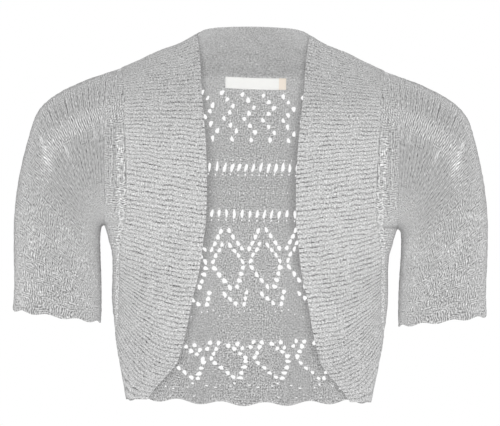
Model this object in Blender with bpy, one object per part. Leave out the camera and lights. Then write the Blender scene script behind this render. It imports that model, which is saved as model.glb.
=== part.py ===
"""A cropped, short-sleeved knitted shrug with a lace back, worn shape, hollow and open down the front.

Sizes in the tables are millimetres. The origin lies between the two shoulders, at the height of the
neck side of the shoulder line. +X is the wearer's left, +Y the wearer's back, +Z up.
The cloth is laid on one smooth body form. Each knitted piece is a region of that form, or a sleeve
that grows out of it, and is thickened into a wall along normals that neighbouring pieces share.
"""

import math

import bpy
import numpy as np
from mathutils import Vector
from mathutils.geometry import delaunay_2d_cdt

MM = 0.001

# Walls, the gap left at every seam, and the ribs, which stand lower along the band's two edges
LACE_WALL = 2.0
BAND_WALL = 2.4
LABEL_WALL = 1.0
SEAM_GAP = 0.36
RIB_HEIGHT = 1.1
RIB_END_SHARE = 0.6

# How many steps each piece is made in. A station of the band carries its share of the ribs.
RIBS_PER_STATION = 2
FRONT_STATIONS = 40
BACK_STATIONS = 9
BAND_SEGMENTS = 4
ARMHOLE_SEGMENTS = 12
SIDE_SEGMENTS = 10
UNDERARM_STEPS = (-208.0, -214.0, -226.0)
PANEL_GRID = 19.0
STRIP_GRID = 14.0
CURVE_SAMPLES = 900
SECTION_SAMPLES = 160
SHARP_ANGLE = 50.0

# Body form: how fast it rounds to the sides, and the place of the neck and the band's seam
ROUNDNESS = 2.3
BODY_MIDDLE = (0.0, 0.0, -150.0)
NECK_HALF_WIDTH = 61.6
NECK_DEPTH = 58.0
NECK_SIDE_HEIGHT = 4.5
NECK_BACK_HEIGHT = 17.0
NECK_RISE_POWER = 0.8
BAND_BULGE = 3.0
BAND_BULGE_RISE = 0.4
SHOULDER_SEAM_X = 144.0
BACK_SEAM_HEIGHT = -37.5
BACK_SEAM_RISE_FROM = 112.0
SEAM_SIDE_SHARE = 0.998

# Rib lines of the fronts: below the fan's start they drop ever later on their way to the seam, and
# near the shoulder they follow the shoulder line instead of running straight
RIB_FAN = 1.2
RIB_FAN_FROM = -160.0
RIB_FAN_OVER = 160.0
SHOULDER_BLEND = 70.0
SHOULDER_BLEND_POWER = 6

# Hem and cuffs, with their scallops
HEM_SIDE = -397.0
HEM_BACK_DIP = 8.0
SCALLOP_PITCH = 50.0
SCALLOP_HEIGHT = 2.3
SCALLOP_PHASE = -6.0
SCALLOP_FADE = 20.0
SCALLOP_POINTS = 7
CUFF_SCALLOPS = 9
CUFF_SCALLOP_HEIGHT = 1.4

# Label: a bare woven strip inside the back, just under the band
LABEL_WIDTH = 68.0
LABEL_HEIGHT = 12.5
LABEL_CENTRE = (3.4, -45.5)
LABEL_CLEARANCE = 0.6
LABEL_COLUMNS = 8


def table(columns, *rows):
    """Rows under named columns, as one array for each name."""
    return {name: np.array(values, float) for name, values in zip(columns.split(), zip(*rows))}


BODY = table(
    "z half front back",
    (-420, 130.0, 73, 94),
    (-400, 133.0, 76, 92),
    (-360, 140.5, 83, 88),
    (-320, 147.0, 91, 86),
    (-280, 151.0, 99, 87),
    (-250, 150.6, 102, 88),
    (-236, 151.6, 104, 90),
    (-222, 155.4, 104, 92),
    (-212, 158.0, 103, 93),
    (-207, 159.8, 103, 93),
    (-205, 161.0, 103, 93),
    (-200, 165.0, 102, 94),
    (-170, 177.0, 99, 96),
    (-125, 191.0, 92, 97),
    (-80, 206.0, 82, 92),
    (-40, 216.0, 70, 84),
    (20, 230.0, 50, 62),
)
SHOULDER = table(
    "x z reach",
    (0, 16.0, 130),
    (30, 15.0, 130),
    (50, 10.5, 130),
    (61.6, 4.5, 125),
    (80, -6.0, 115),
    (104, -15.2, 100),
    (122, -24.0, 90),
    (144, -33.5, 82),
    (157, -38.0, 79),
    (200, -52.5, 75),
)
ARMHOLE = table(
    "z x",
    (-205, 161.0),
    (-195, 159.8),
    (-160, 159.5),
    (-125, 160.0),
    (-75, 160.5),
    (-38, 157.0),
)
BAND_EDGE = table(
    "z x",
    (-394.6, 110.3),
    (-383.0, 102.5),
    (-373.8, 94.5),
    (-363.0, 85.0),
    (-352.2, 77.5),
    (-341.5, 74.3),
    (-325.4, 70.0),
    (-304.0, 65.6),
    (-282.9, 61.8),
    (-256.3, 55.6),
    (-240.3, 53.2),
    (-219.0, 50.8),
    (-197.7, 48.4),
    (-165.8, 47.9),
    (-122.6, 49.4),
    (-90.8, 52.0),
    (-59.0, 55.3),
    (-26.6, 57.5),
    (4.5, 61.6),
)
BAND_SEAM = table(
    "z x",
    (-396.0, 150.0),
    (-330.0, 148.5),
    (-320.0, 145.0),
    (-303.5, 142.0),
    (-273.0, 141.5),
    (-235.8, 141.4),
    (-223.8, 139.2),
    (-209.8, 137.0),
    (-194.6, 134.5),
    (-179.5, 134.0),
    (-122.0, 136.0),
    (-67.0, 138.5),
    (-50.8, 140.5),
    (-33.5, 144.0),
)
RIB_ENDS = table(
    "edge_z seam_z",
    (-394.6, -396.0),
    (-377.6, -334.1),
    (-366.6, -317.7),
    (-353.5, -304.6),
    (-328.7, -288.3),
    (-302.5, -270.9),
    (-280.9, -257.8),
    (-259.4, -239.4),
    (-240.0, -220.9),
    (-216.4, -201.4),
    (-192.7, -181.8),
    (-172.2, -159.0),
    (-150.7, -137.3),
    (-126.9, -118.8),
    (-103.1, -99.3),
    (-78.2, -78.6),
    (-55.2, -61.0),
    (-30.7, -46.5),
    (-6.6, -37.5),
    (4.5, -33.5),
)
SLEEVE = table(
    "outer_x outer_z inner_x inner_z deep",
    (180, -46, 163.0, -205.8, 57),
    (204, -57, 164.8, -207.8, 57),
    (224, -70, 165.8, -211.0, 57),
    (236.5, -85, 166.2, -216.0, 56),
    (243, -104, 166.4, -223.0, 55),
    (249, -127, 166.2, -232.0, 55),
    (254.5, -153, 165.6, -243.0, 54),
    (258.2, -180, 165.0, -255.0, 53),
    (259.8, -208, 164.4, -268.0, 52),
    (259.6, -238, 164.0, -282.0, 51),
    (258.6, -270, 164.0, -297.0, 50),
    (259.5, -300, 164.4, -312.0, 49),
)
# Soft troughs, each along a line of the front view, on the back (side 1) or front (side -1)
FOLDS = table(
    "side x0 z0 x1 z1 deep wide",
    (1, 64, -95, 92, -205, 3.2, 22),
    (1, 22, -255, 40, -395, 2.6, 20),
    (1, 96, -270, 112, -385, 3.0, 19),
    (1, 150, -215, 96, -250, 2.6, 17),
    (-1, 158, -212, 112, -240, 2.2, 16),
    (-1, 172, -200, 222, -145, 2.6, 18),
    (-1, 176, -246, 236, -226, 2.2, 15),
    (1, 172, -205, 226, -160, 3.0, 19),
    (1, 178, -256, 240, -242, 2.6, 16),
)
# Eyelets of the lace back. Each row is one straight chain, repeated across the panel every `pitch`
# from `phase`, and rising to the wearer's left by `slope`; `cut` of its `count` holes are cut through
# the solid, and the rest are left to the finish.
LACE = table(
    "pitch phase x0 z0 x1 z1 count cut wide tall lean slope",
    (22.8, -11.2, 0.0, -58.1, 12.4, -72.1, 3, 2, 4.6, 6.4, 14, -0.04),
    (21.9, -3.7, 0.0, -78.5, -5.8, -85.5, 2, 1, 4.5, 6.0, -18, -0.04),
    (21.6, -3.0, 0.0, -92.6, 6.6, -99.8, 2, 1, 4.6, 6.4, 10, -0.03),
    (21.3, -1.4, 0.0, -108.1, 0.0, -108.1, 1, 1, 4.6, 6.4, -16, -0.03),
    (8.2, 2.3, 0.0, -139.4, 0.0, -139.4, 1, 1, 3.7, 11.0, 12, 0.0),
    (8.44, -1.8, 0.0, -191.5, 0.0, -191.5, 1, 1, 3.6, 10.0, 7, 0.0),
    (42.0, -29.8, -4.4, -210.3, -13.4, -230.8, 4, 1, 4.5, 6.4, 22, 0.03),
    (42.0, -29.8, 5.5, -210.2, 20.0, -230.6, 4, 1, 4.4, 6.4, -25, 0.03),
    (42.0, -29.8, -2.1, -225.0, -12.4, -243.8, 4, 1, 4.3, 6.2, 22, 0.03),
    (42.0, -29.8, -10.9, -252.0, 6.9, -273.8, 4, 2, 4.6, 6.6, -30, 0.03),
    (42.0, -29.8, 6.8, -226.2, 21.0, -244.2, 4, 1, 4.4, 6.4, -22, 0.03),
    (42.0, -29.8, 21.4, -252.0, 14.9, -273.0, 4, 2, 6.0, 5.4, 20, 0.03),
    (42.0, -29.8, 1.6, -281.2, 14.3, -291.4, 3, 1, 4.5, 6.4, -32, 0.03),
    (42.0, -29.8, 26.4, -279.0, 23.4, -292.4, 3, 1, 5.0, 5.8, 12, 0.03),
    (48.0, 0.0, -23.2, -338.2, -4.5, -352.2, 4, 2, 5.5, 4.9, 28, 0.04),
    (48.0, 0.0, -13.2, -336.6, -8.0, -342.0, 2, 0, 4.8, 5.2, 20, 0.04),
    (48.0, 0.0, 4.2, -334.8, 1.1, -341.0, 2, 0, 4.8, 5.2, 20, 0.04),
    (48.0, 0.0, 13.6, -335.9, 5.9, -352.7, 4, 2, 5.0, 5.4, 25, 0.04),
    (48.0, 0.0, -3.8, -357.5, -10.1, -375.9, 4, 2, 6.6, 4.5, 4, 0.02),
    (48.0, 0.0, 9.8, -358.6, 30.6, -374.9, 4, 2, 6.4, 4.1, 28, 0.01),
)
LACE_REPEATS = 30
LACE_MARGIN = 6.0
HOLE_CLEARANCE = 3.2
HOLE_NEAR = 14.0


def smooth(at, xs, ys):
    """A monotone cubic through the table's points, held flat past its ends."""
    at = np.clip(np.asarray(at, float), xs[0], xs[-1])
    steps = np.diff(xs)
    slopes = np.diff(ys) / steps
    before, after = slopes[:-1], slopes[1:]
    same_way = before * after > 0
    harmonic = 2 * before * after / np.where(same_way, before + after, 1)
    tangents = np.concatenate([[slopes[0]], np.where(same_way, harmonic, 0), [slopes[-1]]])
    i = np.clip(np.searchsorted(xs, at, side="right") - 1, 0, len(xs) - 2)
    h = steps[i]
    u = (at - xs[i]) / h
    return (
        (1 + 2 * u) * (1 - u) ** 2 * ys[i]
        + u * (1 - u) ** 2 * h * tangents[i]
        + u**2 * (3 - 2 * u) * ys[i + 1]
        + u**2 * (u - 1) * h * tangents[i + 1]
    )


def smoothstep(u):
    u = np.clip(u, 0, 1)
    return u * u * (3 - 2 * u)


def body_half(z):
    return smooth(z, BODY["z"], BODY["half"])


def shoulder_height(x):
    return smooth(np.abs(x), SHOULDER["x"], SHOULDER["z"])


def fold_depth(x, z, side):
    """How deep the soft troughs are at places of the front view."""
    deep = 0
    for on, x0, z0, x1, z1, most, wide in zip(*FOLDS.values()):
        if on == side:
            run, rise = x1 - x0, z1 - z0
            at = np.clip(((np.abs(x) - x0) * run + (z - z0) * rise) / (run**2 + rise**2), 0, 1)
            away = np.hypot(np.abs(x) - x0 - at * run, z - z0 - at * rise)
            deep = deep + most * np.exp(-((away / wide) ** 2))
    return deep


def body_depth(x, z, side):
    """How far the body form lies in front of (side -1) or behind (side 1) the mid plane."""
    deep = smooth(z, BODY["z"], BODY["front" if side < 0 else "back"])
    across = np.clip(1 - (np.abs(x) / body_half(z)) ** ROUNDNESS, 0, 1) ** (1 / ROUNDNESS)
    reach = smooth(np.abs(x), SHOULDER["x"], SHOULDER["reach"])
    drop = np.clip((shoulder_height(x) - z) / reach, 0, 1)
    return side * (deep - fold_depth(x, z, side)) * across * np.sqrt(1 - (1 - drop) ** 2)


def on_body(x, z, side):
    """Points of the body form, from their place in the front view."""
    x, z = np.broadcast_arrays(np.asarray(x, float), np.asarray(z, float))
    return np.stack([x, body_depth(x, z, side), z], axis=-1)


def section(z, side):
    """Points of the body's level section at z from the middle to its side, and their arc lengths."""
    reach = section_end(z)
    x = reach * np.sin(np.linspace(0, math.pi / 2, SECTION_SAMPLES))
    points = on_body(x, z, side)
    steps = np.linalg.norm(np.diff(points, axis=0), axis=1)
    return x, np.concatenate([[0], np.cumsum(steps)])


def section_end(z):
    """Where a level section ends: on the shoulder line high up, and at the side below."""
    ridge_z = SHOULDER["z"][::-1]
    on_ridge = np.interp(z, ridge_z, SHOULDER["x"][::-1])
    return float(min(body_half(z), on_ridge if z > ridge_z[0] else np.inf))


def from_arc(length, z, side):
    """The body point at a signed arc length from the middle, at height z."""
    x, lengths = section(z, side)
    at = math.copysign(np.interp(abs(length), lengths, x), length)
    return on_body(at, z, side)


def to_arc(x, z, side):
    """The signed arc length of the body point x at height z."""
    xs, lengths = section(z, side)
    return math.copysign(np.interp(abs(x), xs, lengths), x)


def resample(points, count):
    """count + 1 points at equal steps along a polyline."""
    steps = np.linalg.norm(np.diff(points, axis=0), axis=1)
    along = np.concatenate([[0], np.cumsum(steps)])
    wanted = np.linspace(0, along[-1], count + 1)
    return np.stack([np.interp(wanted, along, points[:, k]) for k in range(points.shape[1])], axis=1)


def armhole_points(side):
    """One half of the armhole, from the shoulder down to the underarm."""
    share = (1 - np.cos(np.linspace(0, math.pi, ARMHOLE_SEGMENTS + 1))) / 2
    top, bottom = ARMHOLE["z"][-1], ARMHOLE["z"][0]
    z = top + (bottom - top) * share
    return on_body(smooth(z, ARMHOLE["z"], ARMHOLE["x"]), z, side)


def side_line():
    """The side seam, from the underarm down to the hem."""
    z = np.linspace(ARMHOLE["z"][0], HEM_SIDE, SIDE_SEGMENTS + 1)
    z[1 : 1 + len(UNDERARM_STEPS)] = UNDERARM_STEPS
    points = on_body(body_half(z), z, 1)
    points[:, 1] = 0
    return points


def band_front_curves():
    """The band's rib lines down one front, from the shoulder line to the hem."""
    edge_z = np.linspace(RIB_ENDS["edge_z"][-1], RIB_ENDS["edge_z"][0], CURVE_SAMPLES)
    edge = on_body(smooth(edge_z, BAND_EDGE["z"], BAND_EDGE["x"]), edge_z, -1)
    edge_z = resample(edge, FRONT_STATIONS)[:, 2]
    seam_z = smooth(edge_z, RIB_ENDS["edge_z"], RIB_ENDS["seam_z"])
    edge_x = smooth(edge_z, BAND_EDGE["z"], BAND_EDGE["x"])
    seam_x = smooth(seam_z, BAND_SEAM["z"], BAND_SEAM["x"])
    seam_x = np.minimum(seam_x, SEAM_SIDE_SHARE * body_half(seam_z))
    t = np.linspace(0, 1, BAND_SEGMENTS + 1)
    fan = 1 + RIB_FAN * smoothstep((RIB_FAN_FROM - edge_z) / RIB_FAN_OVER)
    x = edge_x[:, None] + (seam_x - edge_x)[:, None] * t
    straight = edge_z[:, None] + (seam_z - edge_z)[:, None] * t ** fan[:, None]
    edge_drop = (shoulder_height(edge_x) - edge_z)[:, None]
    seam_drop = (shoulder_height(seam_x) - seam_z)[:, None]
    with_shoulder = shoulder_height(x) - edge_drop - (seam_drop - edge_drop) * t
    z = straight + (with_shoulder - straight) * smoothstep(1 + edge_z / SHOULDER_BLEND)[:, None]
    return on_body(x, z, -1)


def band_back_curves():
    """The band's rib lines round one half of the back neck, from the shoulder line to the middle."""
    turn = np.linspace(0, math.pi / 2, BACK_STATIONS + 1)
    edge = np.stack(
        [
            NECK_HALF_WIDTH * np.cos(turn),
            NECK_DEPTH * np.sin(turn),
            NECK_SIDE_HEIGHT + (NECK_BACK_HEIGHT - NECK_SIDE_HEIGHT) * np.sin(turn) ** NECK_RISE_POWER,
        ],
        axis=1,
    )
    x = SHOULDER_SEAM_X * np.cos(np.linspace(0, math.pi / 2, CURVE_SAMPLES))
    rise = smoothstep((x - BACK_SEAM_RISE_FROM) / (SHOULDER_SEAM_X - BACK_SEAM_RISE_FROM))
    z = BACK_SEAM_HEIGHT + (shoulder_height(SHOULDER_SEAM_X) - BACK_SEAM_HEIGHT) * rise
    seam = resample(on_body(x, z, 1), BACK_STATIONS)
    t = np.linspace(0, 1, BAND_SEGMENTS + 1)
    rows = edge[:, None, :] + (seam - edge)[:, None, :] * t[None, :, None]
    at_shoulder = np.cos(turn)[:, None] ** SHOULDER_BLEND_POWER
    rows[..., 2] += (shoulder_height(rows[..., 0]) - rows[..., 2]) * at_shoulder
    out = np.stack([np.zeros_like(turn), np.sin(turn), BAND_BULGE_RISE * np.sin(turn)], axis=1)
    return rows + BAND_BULGE * out[:, None, :] * (4 * t * (1 - t))[None, :, None]


def mirrored(points):
    return points * np.array([-1.0, 1.0, 1.0])


def band_grid():
    """Stations of the whole band, from the hem of the wearer's right front round to the left front's."""
    front, back = band_front_curves(), band_back_curves()
    left = np.concatenate([back[::-1], front[1:]])
    return np.concatenate([mirrored(left[:0:-1]), left])


def hem_line():
    """The scalloped hem of the back, from the wearer's right side seam to the left one."""
    _, lengths = section(HEM_SIDE, 1)
    half = lengths[-1]
    count = round(2 * half / SCALLOP_PITCH * SCALLOP_POINTS)
    along = np.linspace(-half, half, count + 1)
    fade = np.clip((half - np.abs(along)) / SCALLOP_FADE, 0, 1)
    dip = HEM_BACK_DIP * smoothstep((half - np.abs(along)) / half)
    wave = SCALLOP_HEIGHT * np.cos(2 * math.pi * (along - SCALLOP_PHASE) / SCALLOP_PITCH)
    return along, HEM_SIDE - dip - wave * fade


def eyelets(limit_at):
    """Every eyelet of the lace that is cut through the solid: its middle, width, height and lean."""
    found = []
    for row in zip(*LACE.values()):
        hole = dict(zip(LACE, row))
        cut = int(hole["cut"])
        places = (np.arange(cut) + 0.5) / max(cut, 1)
        places = np.round(places * (hole["count"] - 1)) / max(hole["count"] - 1, 1)
        for repeat in range(-LACE_REPEATS, LACE_REPEATS + 1):
            for place in places:
                x = hole["phase"] + repeat * hole["pitch"] + hole["x0"] + (hole["x1"] - hole["x0"]) * place
                z = hole["z0"] + (hole["z1"] - hole["z0"]) * place + hole["slope"] * x
                if abs(x) + hole["wide"] / 2 + LACE_MARGIN < limit_at(z):
                    found.append((x, z, hole["wide"], hole["tall"], math.radians(hole["lean"])))
    return found


def eyelet_outline(hole):
    """The four corners of an eyelet, a leaning lozenge."""
    x, z, wide, tall, lean = hole
    corners = np.array([(0, -tall / 2), (wide / 2, 0), (0, tall / 2), (-wide / 2, 0)])
    turn = np.array([[math.cos(lean), math.sin(lean)], [-math.sin(lean), math.cos(lean)]])
    return corners @ turn.T + (x, z)


def inside(polygon, points):
    """Which points lie inside a closed polygon, by crossings."""
    x, y = points[:, 0], points[:, 1]
    result = np.zeros(len(points), bool)
    for (x0, y0), (x1, y1) in zip(polygon, np.roll(polygon, -1, axis=0)):
        crosses = (y0 > y) != (y1 > y)
        with np.errstate(divide="ignore", invalid="ignore"):
            result ^= crosses & (x < (x1 - x0) * (y - y0) / (y1 - y0) + x0)
    return result


def edge_distance(polygon, points):
    """The distance from each point to the polygon's nearest edge."""
    best = np.full(len(points), np.inf)
    for a, b in zip(polygon, np.roll(polygon, -1, axis=0)):
        along = np.clip(((points - a) @ (b - a)) / ((b - a) @ (b - a)), 0, 1)
        best = np.minimum(best, np.linalg.norm(points - a - along[:, None] * (b - a), axis=1))
    return best


def panel(outline, outline_points, holes, step, side):
    """A mid surface over a flat outline of (arc, z) points, with holes left out.

    outline_points are the outline's points in space, which neighbouring pieces share."""
    low, high = outline.min(axis=0), outline.max(axis=0)
    counts = np.maximum(np.round((high - low) / step), 1).astype(int)
    ticks = [np.linspace(a, b, n + 1) for a, b, n in zip(low, high, counts)]
    grid = np.stack(np.meshgrid(*ticks), -1).reshape(-1, 2)
    grid = grid[inside(outline, grid) & (edge_distance(outline, grid) > step * 0.4)]
    for hole in holes:
        centre = hole.mean(axis=0)
        near = np.linalg.norm(grid - centre, axis=1) < HOLE_NEAR
        keep = np.ones(len(grid), bool)
        keep[near] = ~inside(hole, grid[near]) & (edge_distance(hole, grid[near]) > HOLE_CLEARANCE)
        grid = grid[keep]
    flat = np.concatenate([outline, *holes, grid])
    edges, start = [], 0
    for loop in [outline, *holes]:
        edges += [(start + i, start + (i + 1) % len(loop)) for i in range(len(loop))]
        start += len(loop)
    made = delaunay_2d_cdt([Vector(p) for p in flat], edges, [], 0, 1e-5)
    points, faces = made[0], np.array(made[2])
    back_to = {made_at: given[0] for made_at, given in enumerate(made[3]) if given}
    flat = np.array(points)
    centres = flat[faces].mean(axis=1)
    keep = inside(outline, centres)
    for hole in holes:
        keep &= ~inside(hole, centres)
    faces = faces[keep]
    space = np.empty((len(flat), 3))
    for at, (arc, z) in enumerate(flat):
        given = back_to.get(at, len(outline))
        space[at] = outline_points[given] if given < len(outline) else from_arc(arc, z, side)
    on_outline = np.array([back_to.get(at, len(outline)) < len(outline) for at in range(len(flat))])
    return facing(space, faces, side), space, on_outline


def facing(points, faces, side):
    """The faces turned to look away from the body's middle."""
    a, b, c = (points[faces[:, k]] for k in range(3))
    normal = np.cross(b - a, c - a)
    outwards = (normal * ((a + b + c) / 3 - np.array(BODY_MIDDLE))).sum() > 0
    return faces if outwards else faces[:, ::-1]


def back_patch():
    """The lace back: band seam above, armholes and side seams at the sides, scallops below."""
    seam = band_grid()[FRONT_STATIONS : FRONT_STATIONS + 2 * BACK_STATIONS + 1, -1]
    arm = armhole_points(1)
    line = side_line()
    along, hem_z = hem_line()
    hem = np.array([from_arc(a, z, 1) for a, z in zip(along, hem_z)])
    hem[0], hem[-1] = mirrored(line[-1]), line[-1]
    loop = np.concatenate([seam, arm, line[1:], hem[-2:0:-1], mirrored(line[:0:-1]), mirrored(arm[::-1])])
    flat = np.array([(to_arc(x, z, 1), z) for x, _, z in loop])
    half_at = {}

    def limit(z):
        key = round(z)
        if key not in half_at:
            above = z > ARMHOLE["z"][0]
            reach = smooth(z, ARMHOLE["z"], ARMHOLE["x"]) if above else body_half(z)
            half_at[key] = to_arc(float(reach), z, 1)
        return half_at[key]

    holes = [eyelet_outline(hole) for hole in eyelets(limit)]
    return panel(flat, loop, holes, PANEL_GRID, 1)


def front_patch():
    """The narrow lace front of the wearer's left, between the band and the armhole and side seam."""
    seam = band_grid()[FRONT_STATIONS + 2 * BACK_STATIONS :, -1]
    arm = armhole_points(-1)
    line = side_line()
    loop = np.concatenate([seam[::-1], arm, line[1:]])
    flat = np.array([(to_arc(x, z, -1), z) for x, _, z in loop])
    return panel(flat, loop, [], STRIP_GRID, -1)


def sleeve_patch():
    """The left sleeve: rings that swing from the armhole down to the level cuff."""
    front, back = armhole_points(-1), armhole_points(1)
    ring = np.concatenate([front, back[-2:0:-1]])
    count = len(ring)
    turn = np.arccos(1 - 2 * (front[0, 2] - ring[:, 2]) / (front[0, 2] - front[-1, 2]))
    across = np.cos(turn)
    depth = np.clip(1 - np.abs(across) ** ROUNDNESS, 0, 1) ** (1 / ROUNDNESS)
    depth *= np.where(np.arange(count) <= ARMHOLE_SEGMENTS, -1, 1)
    rings = [ring]
    for outer_x, outer_z, inner_x, inner_z, deep in zip(*SLEEVE.values()):
        outer, inner = np.array([outer_x, 0, outer_z]), np.array([inner_x, 0, inner_z])
        plane = (outer + inner) / 2 + across[:, None] * (outer - inner) / 2
        in_front, behind = (fold_depth(plane[:, 0], plane[:, 2], side) for side in (-1, 1))
        trough = np.where(depth < 0, in_front, behind)
        plane[:, 1] = depth * (deep - trough)
        rings.append(plane)
    around = np.arange(count) / count
    rings[-1][:, 2] += CUFF_SCALLOP_HEIGHT * np.cos(2 * math.pi * CUFF_SCALLOPS * around)
    points = np.concatenate(rings)
    faces = []
    for r in range(len(rings) - 1):
        for i in range(count):
            a, b = r * count + i, r * count + (i + 1) % count
            faces += [(a, b, b + count), (a, b + count, a + count)]
    on_seam = np.arange(len(points)) < count
    faces = np.array(faces)
    a, b, c = (points[faces[:, k]] for k in range(3))
    middle = np.array([r.mean(axis=0) for r in rings]).repeat(2 * count, axis=0)[: len(faces)]
    if (np.cross(b - a, c - a) * (a - middle)).sum() < 0:
        faces = faces[:, ::-1]
    return faces, points, on_seam


def band_patch():
    """The band's stations as one coarse mid surface."""
    grid = band_grid()
    rows, columns = grid.shape[:2]
    index = np.arange(rows * columns).reshape(rows, columns)
    a, b, c, d = index[:-1, :-1], index[:-1, 1:], index[1:, 1:], index[1:, :-1]
    halves = [np.stack(corners, -1).reshape(-1, 3) for corners in ((a, b, c), (a, c, d))]
    faces = np.concatenate(halves)
    points = grid.reshape(-1, 3)
    on_seam = (np.arange(len(points)) % columns) == columns - 1
    return facing(points, faces, -1), points, on_seam


def keys_of(points):
    return [tuple(p) for p in np.round(points, 3)]


def shared_normals(patches):
    """One normal for each place, gathered from every patch that has a vertex there."""
    total = {}
    for faces, points, _ in patches:
        a, b, c = (points[faces[:, k]] for k in range(3))
        normal = np.cross(b - a, c - a)
        keys = keys_of(points)
        for face, n in zip(faces, normal):
            for at in face:
                total[keys[at]] = total.get(keys[at], 0) + n
    result = []
    for _, points, _ in patches:
        normals = np.array([total.get(key, np.zeros(3)) for key in keys_of(points)])
        result.append(normals / np.maximum(np.linalg.norm(normals, axis=1), 1e-9)[:, None])
    return result


def boundary_edges(faces):
    """Edges that only one face has, in that face's own direction."""
    ends = {(f[i], f[(i + 1) % 3]) for f in map(tuple, faces) for i in range(3)}
    return [(a, b) for a, b in ends if (b, a) not in ends]


def drawn_in(faces, points, normals, on_seam):
    """The points with those on a seam drawn back into their own piece by half the seam's gap."""
    inwards = np.zeros_like(points)
    for a, b in boundary_edges(faces):
        along = points[b] - points[a]
        across = np.cross(normals[a] + normals[b], along)
        across /= max(np.linalg.norm(across), 1e-9)
        inwards[a] += across
        inwards[b] += across
    length = np.linalg.norm(inwards, axis=1)
    moved = on_seam & (length > 1e-6)
    result = points.copy()
    result[moved] += inwards[moved] / length[moved, None] * SEAM_GAP / 2
    return result


def material(name, colour, roughness):
    made = bpy.data.materials.new(name)
    made.use_nodes = True
    shader = made.node_tree.nodes["Principled BSDF"]
    shader.inputs["Base Color"].default_value = (*colour, 1)
    shader.inputs["Roughness"].default_value = roughness
    shader.inputs["Metallic"].default_value = 0
    return made


def add_object(name, points, faces, finish, collection):
    mesh = bpy.data.meshes.new(name)
    mesh.from_pydata((points * MM).tolist(), [], [tuple(map(int, f)) for f in faces])
    mesh.validate()
    mesh.materials.append(finish)
    mesh.shade_smooth()
    mesh.set_sharp_from_angle(angle=math.radians(SHARP_ANGLE))
    made = bpy.data.objects.new(name, mesh)
    collection.objects.link(made)
    return made


def add_wall(name, patch, normals, thickness, finish, collection):
    """An open mid surface made into a closed wall, half its thickness to each side.

    The rim's diagonals follow the points' order in space, so two pieces that meet at a seam agree."""
    faces, points, on_seam = patch
    middle = drawn_in(faces, points, normals, on_seam)
    count = len(points)
    walls = np.concatenate([middle + normals * thickness / 2, middle - normals * thickness / 2])
    keys = keys_of(points)
    rims = []
    for a, b in boundary_edges(faces):
        if keys[a] < keys[b]:
            rims += [(b, a, b + count), (a, a + count, b + count)]
        else:
            rims += [(b, a, a + count), (b, a + count, b + count)]
    all_faces = [*faces.tolist(), *(faces[:, ::-1] + count).tolist(), *rims]
    return add_object(name, walls, all_faces, finish, collection)


def add_band(patch, normals, finish, collection):
    """The ribbed band: ribs raised in the outer points, over a plain and coarser inside."""
    faces, points, on_seam = patch
    columns = BAND_SEGMENTS + 1
    middle = drawn_in(faces, points, normals, on_seam).reshape(-1, columns, 3)
    normals = normals.reshape(-1, columns, 3)
    stations = len(middle)
    split = 2 * RIBS_PER_STATION
    rows = (stations - 1) * split + 1
    at = np.arange(rows) / split
    low = np.minimum(at.astype(int), stations - 2)
    part = (at - low)[:, None, None]
    fine = middle[low] * (1 - part) + middle[low + 1] * part
    fine_normals = normals[low] * (1 - part) + normals[low + 1] * part
    ridge = (np.arange(rows) % 2)[:, None, None] * RIB_HEIGHT
    across = np.ones(columns)
    across[[0, -1]] = RIB_END_SHARE
    outer = fine + fine_normals * (BAND_WALL / 2 + ridge * across[None, :, None])
    inner = middle - normals * BAND_WALL / 2
    walls = np.concatenate([outer.reshape(-1, 3), inner.reshape(-1, 3)])
    top = np.arange(rows * columns).reshape(rows, columns)
    under = np.arange(stations * columns).reshape(stations, columns) + rows * columns
    flip = boundary_turn(faces, columns)
    quads = [quad(top, r, c, flip) for r in range(rows - 1) for c in range(columns - 1)]
    quads += [quad(under, r, c, not flip) for r in range(stations - 1) for c in range(columns - 1)]
    rims = []
    for column, turned in ((0, flip), (columns - 1, not flip)):
        for s in range(stations - 1):
            fan = [top[s * split + k, column] for k in range(split + 1)]
            for k in range(split):
                corner = under[s if k < split // 2 else s + 1, column]
                rims.append(turned_face((fan[k], fan[k + 1], corner), turned))
            rims.append(turned_face((fan[split // 2], under[s + 1, column], under[s, column]), turned))
    for row_top, row_under, turned in ((top[0], under[0], not flip), (top[-1], under[-1], flip)):
        for c in range(columns - 1):
            rims.append(turned_face((row_top[c], row_top[c + 1], row_under[c + 1], row_under[c]), turned))
    return add_object("band", walls, [*quads, *rims], finish, collection)


def boundary_turn(faces, columns):
    """Whether the coarse faces run from station to station before they run across."""
    return tuple(faces[0]) in ((0, columns + 1, 1), (columns + 1, 1, 0), (1, 0, columns + 1))


def turned_face(face, turned):
    return tuple(face[::-1]) if turned else tuple(face)


def quad(index, r, c, turned):
    return turned_face((index[r, c], index[r, c + 1], index[r + 1, c + 1], index[r + 1, c]), turned)


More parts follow.
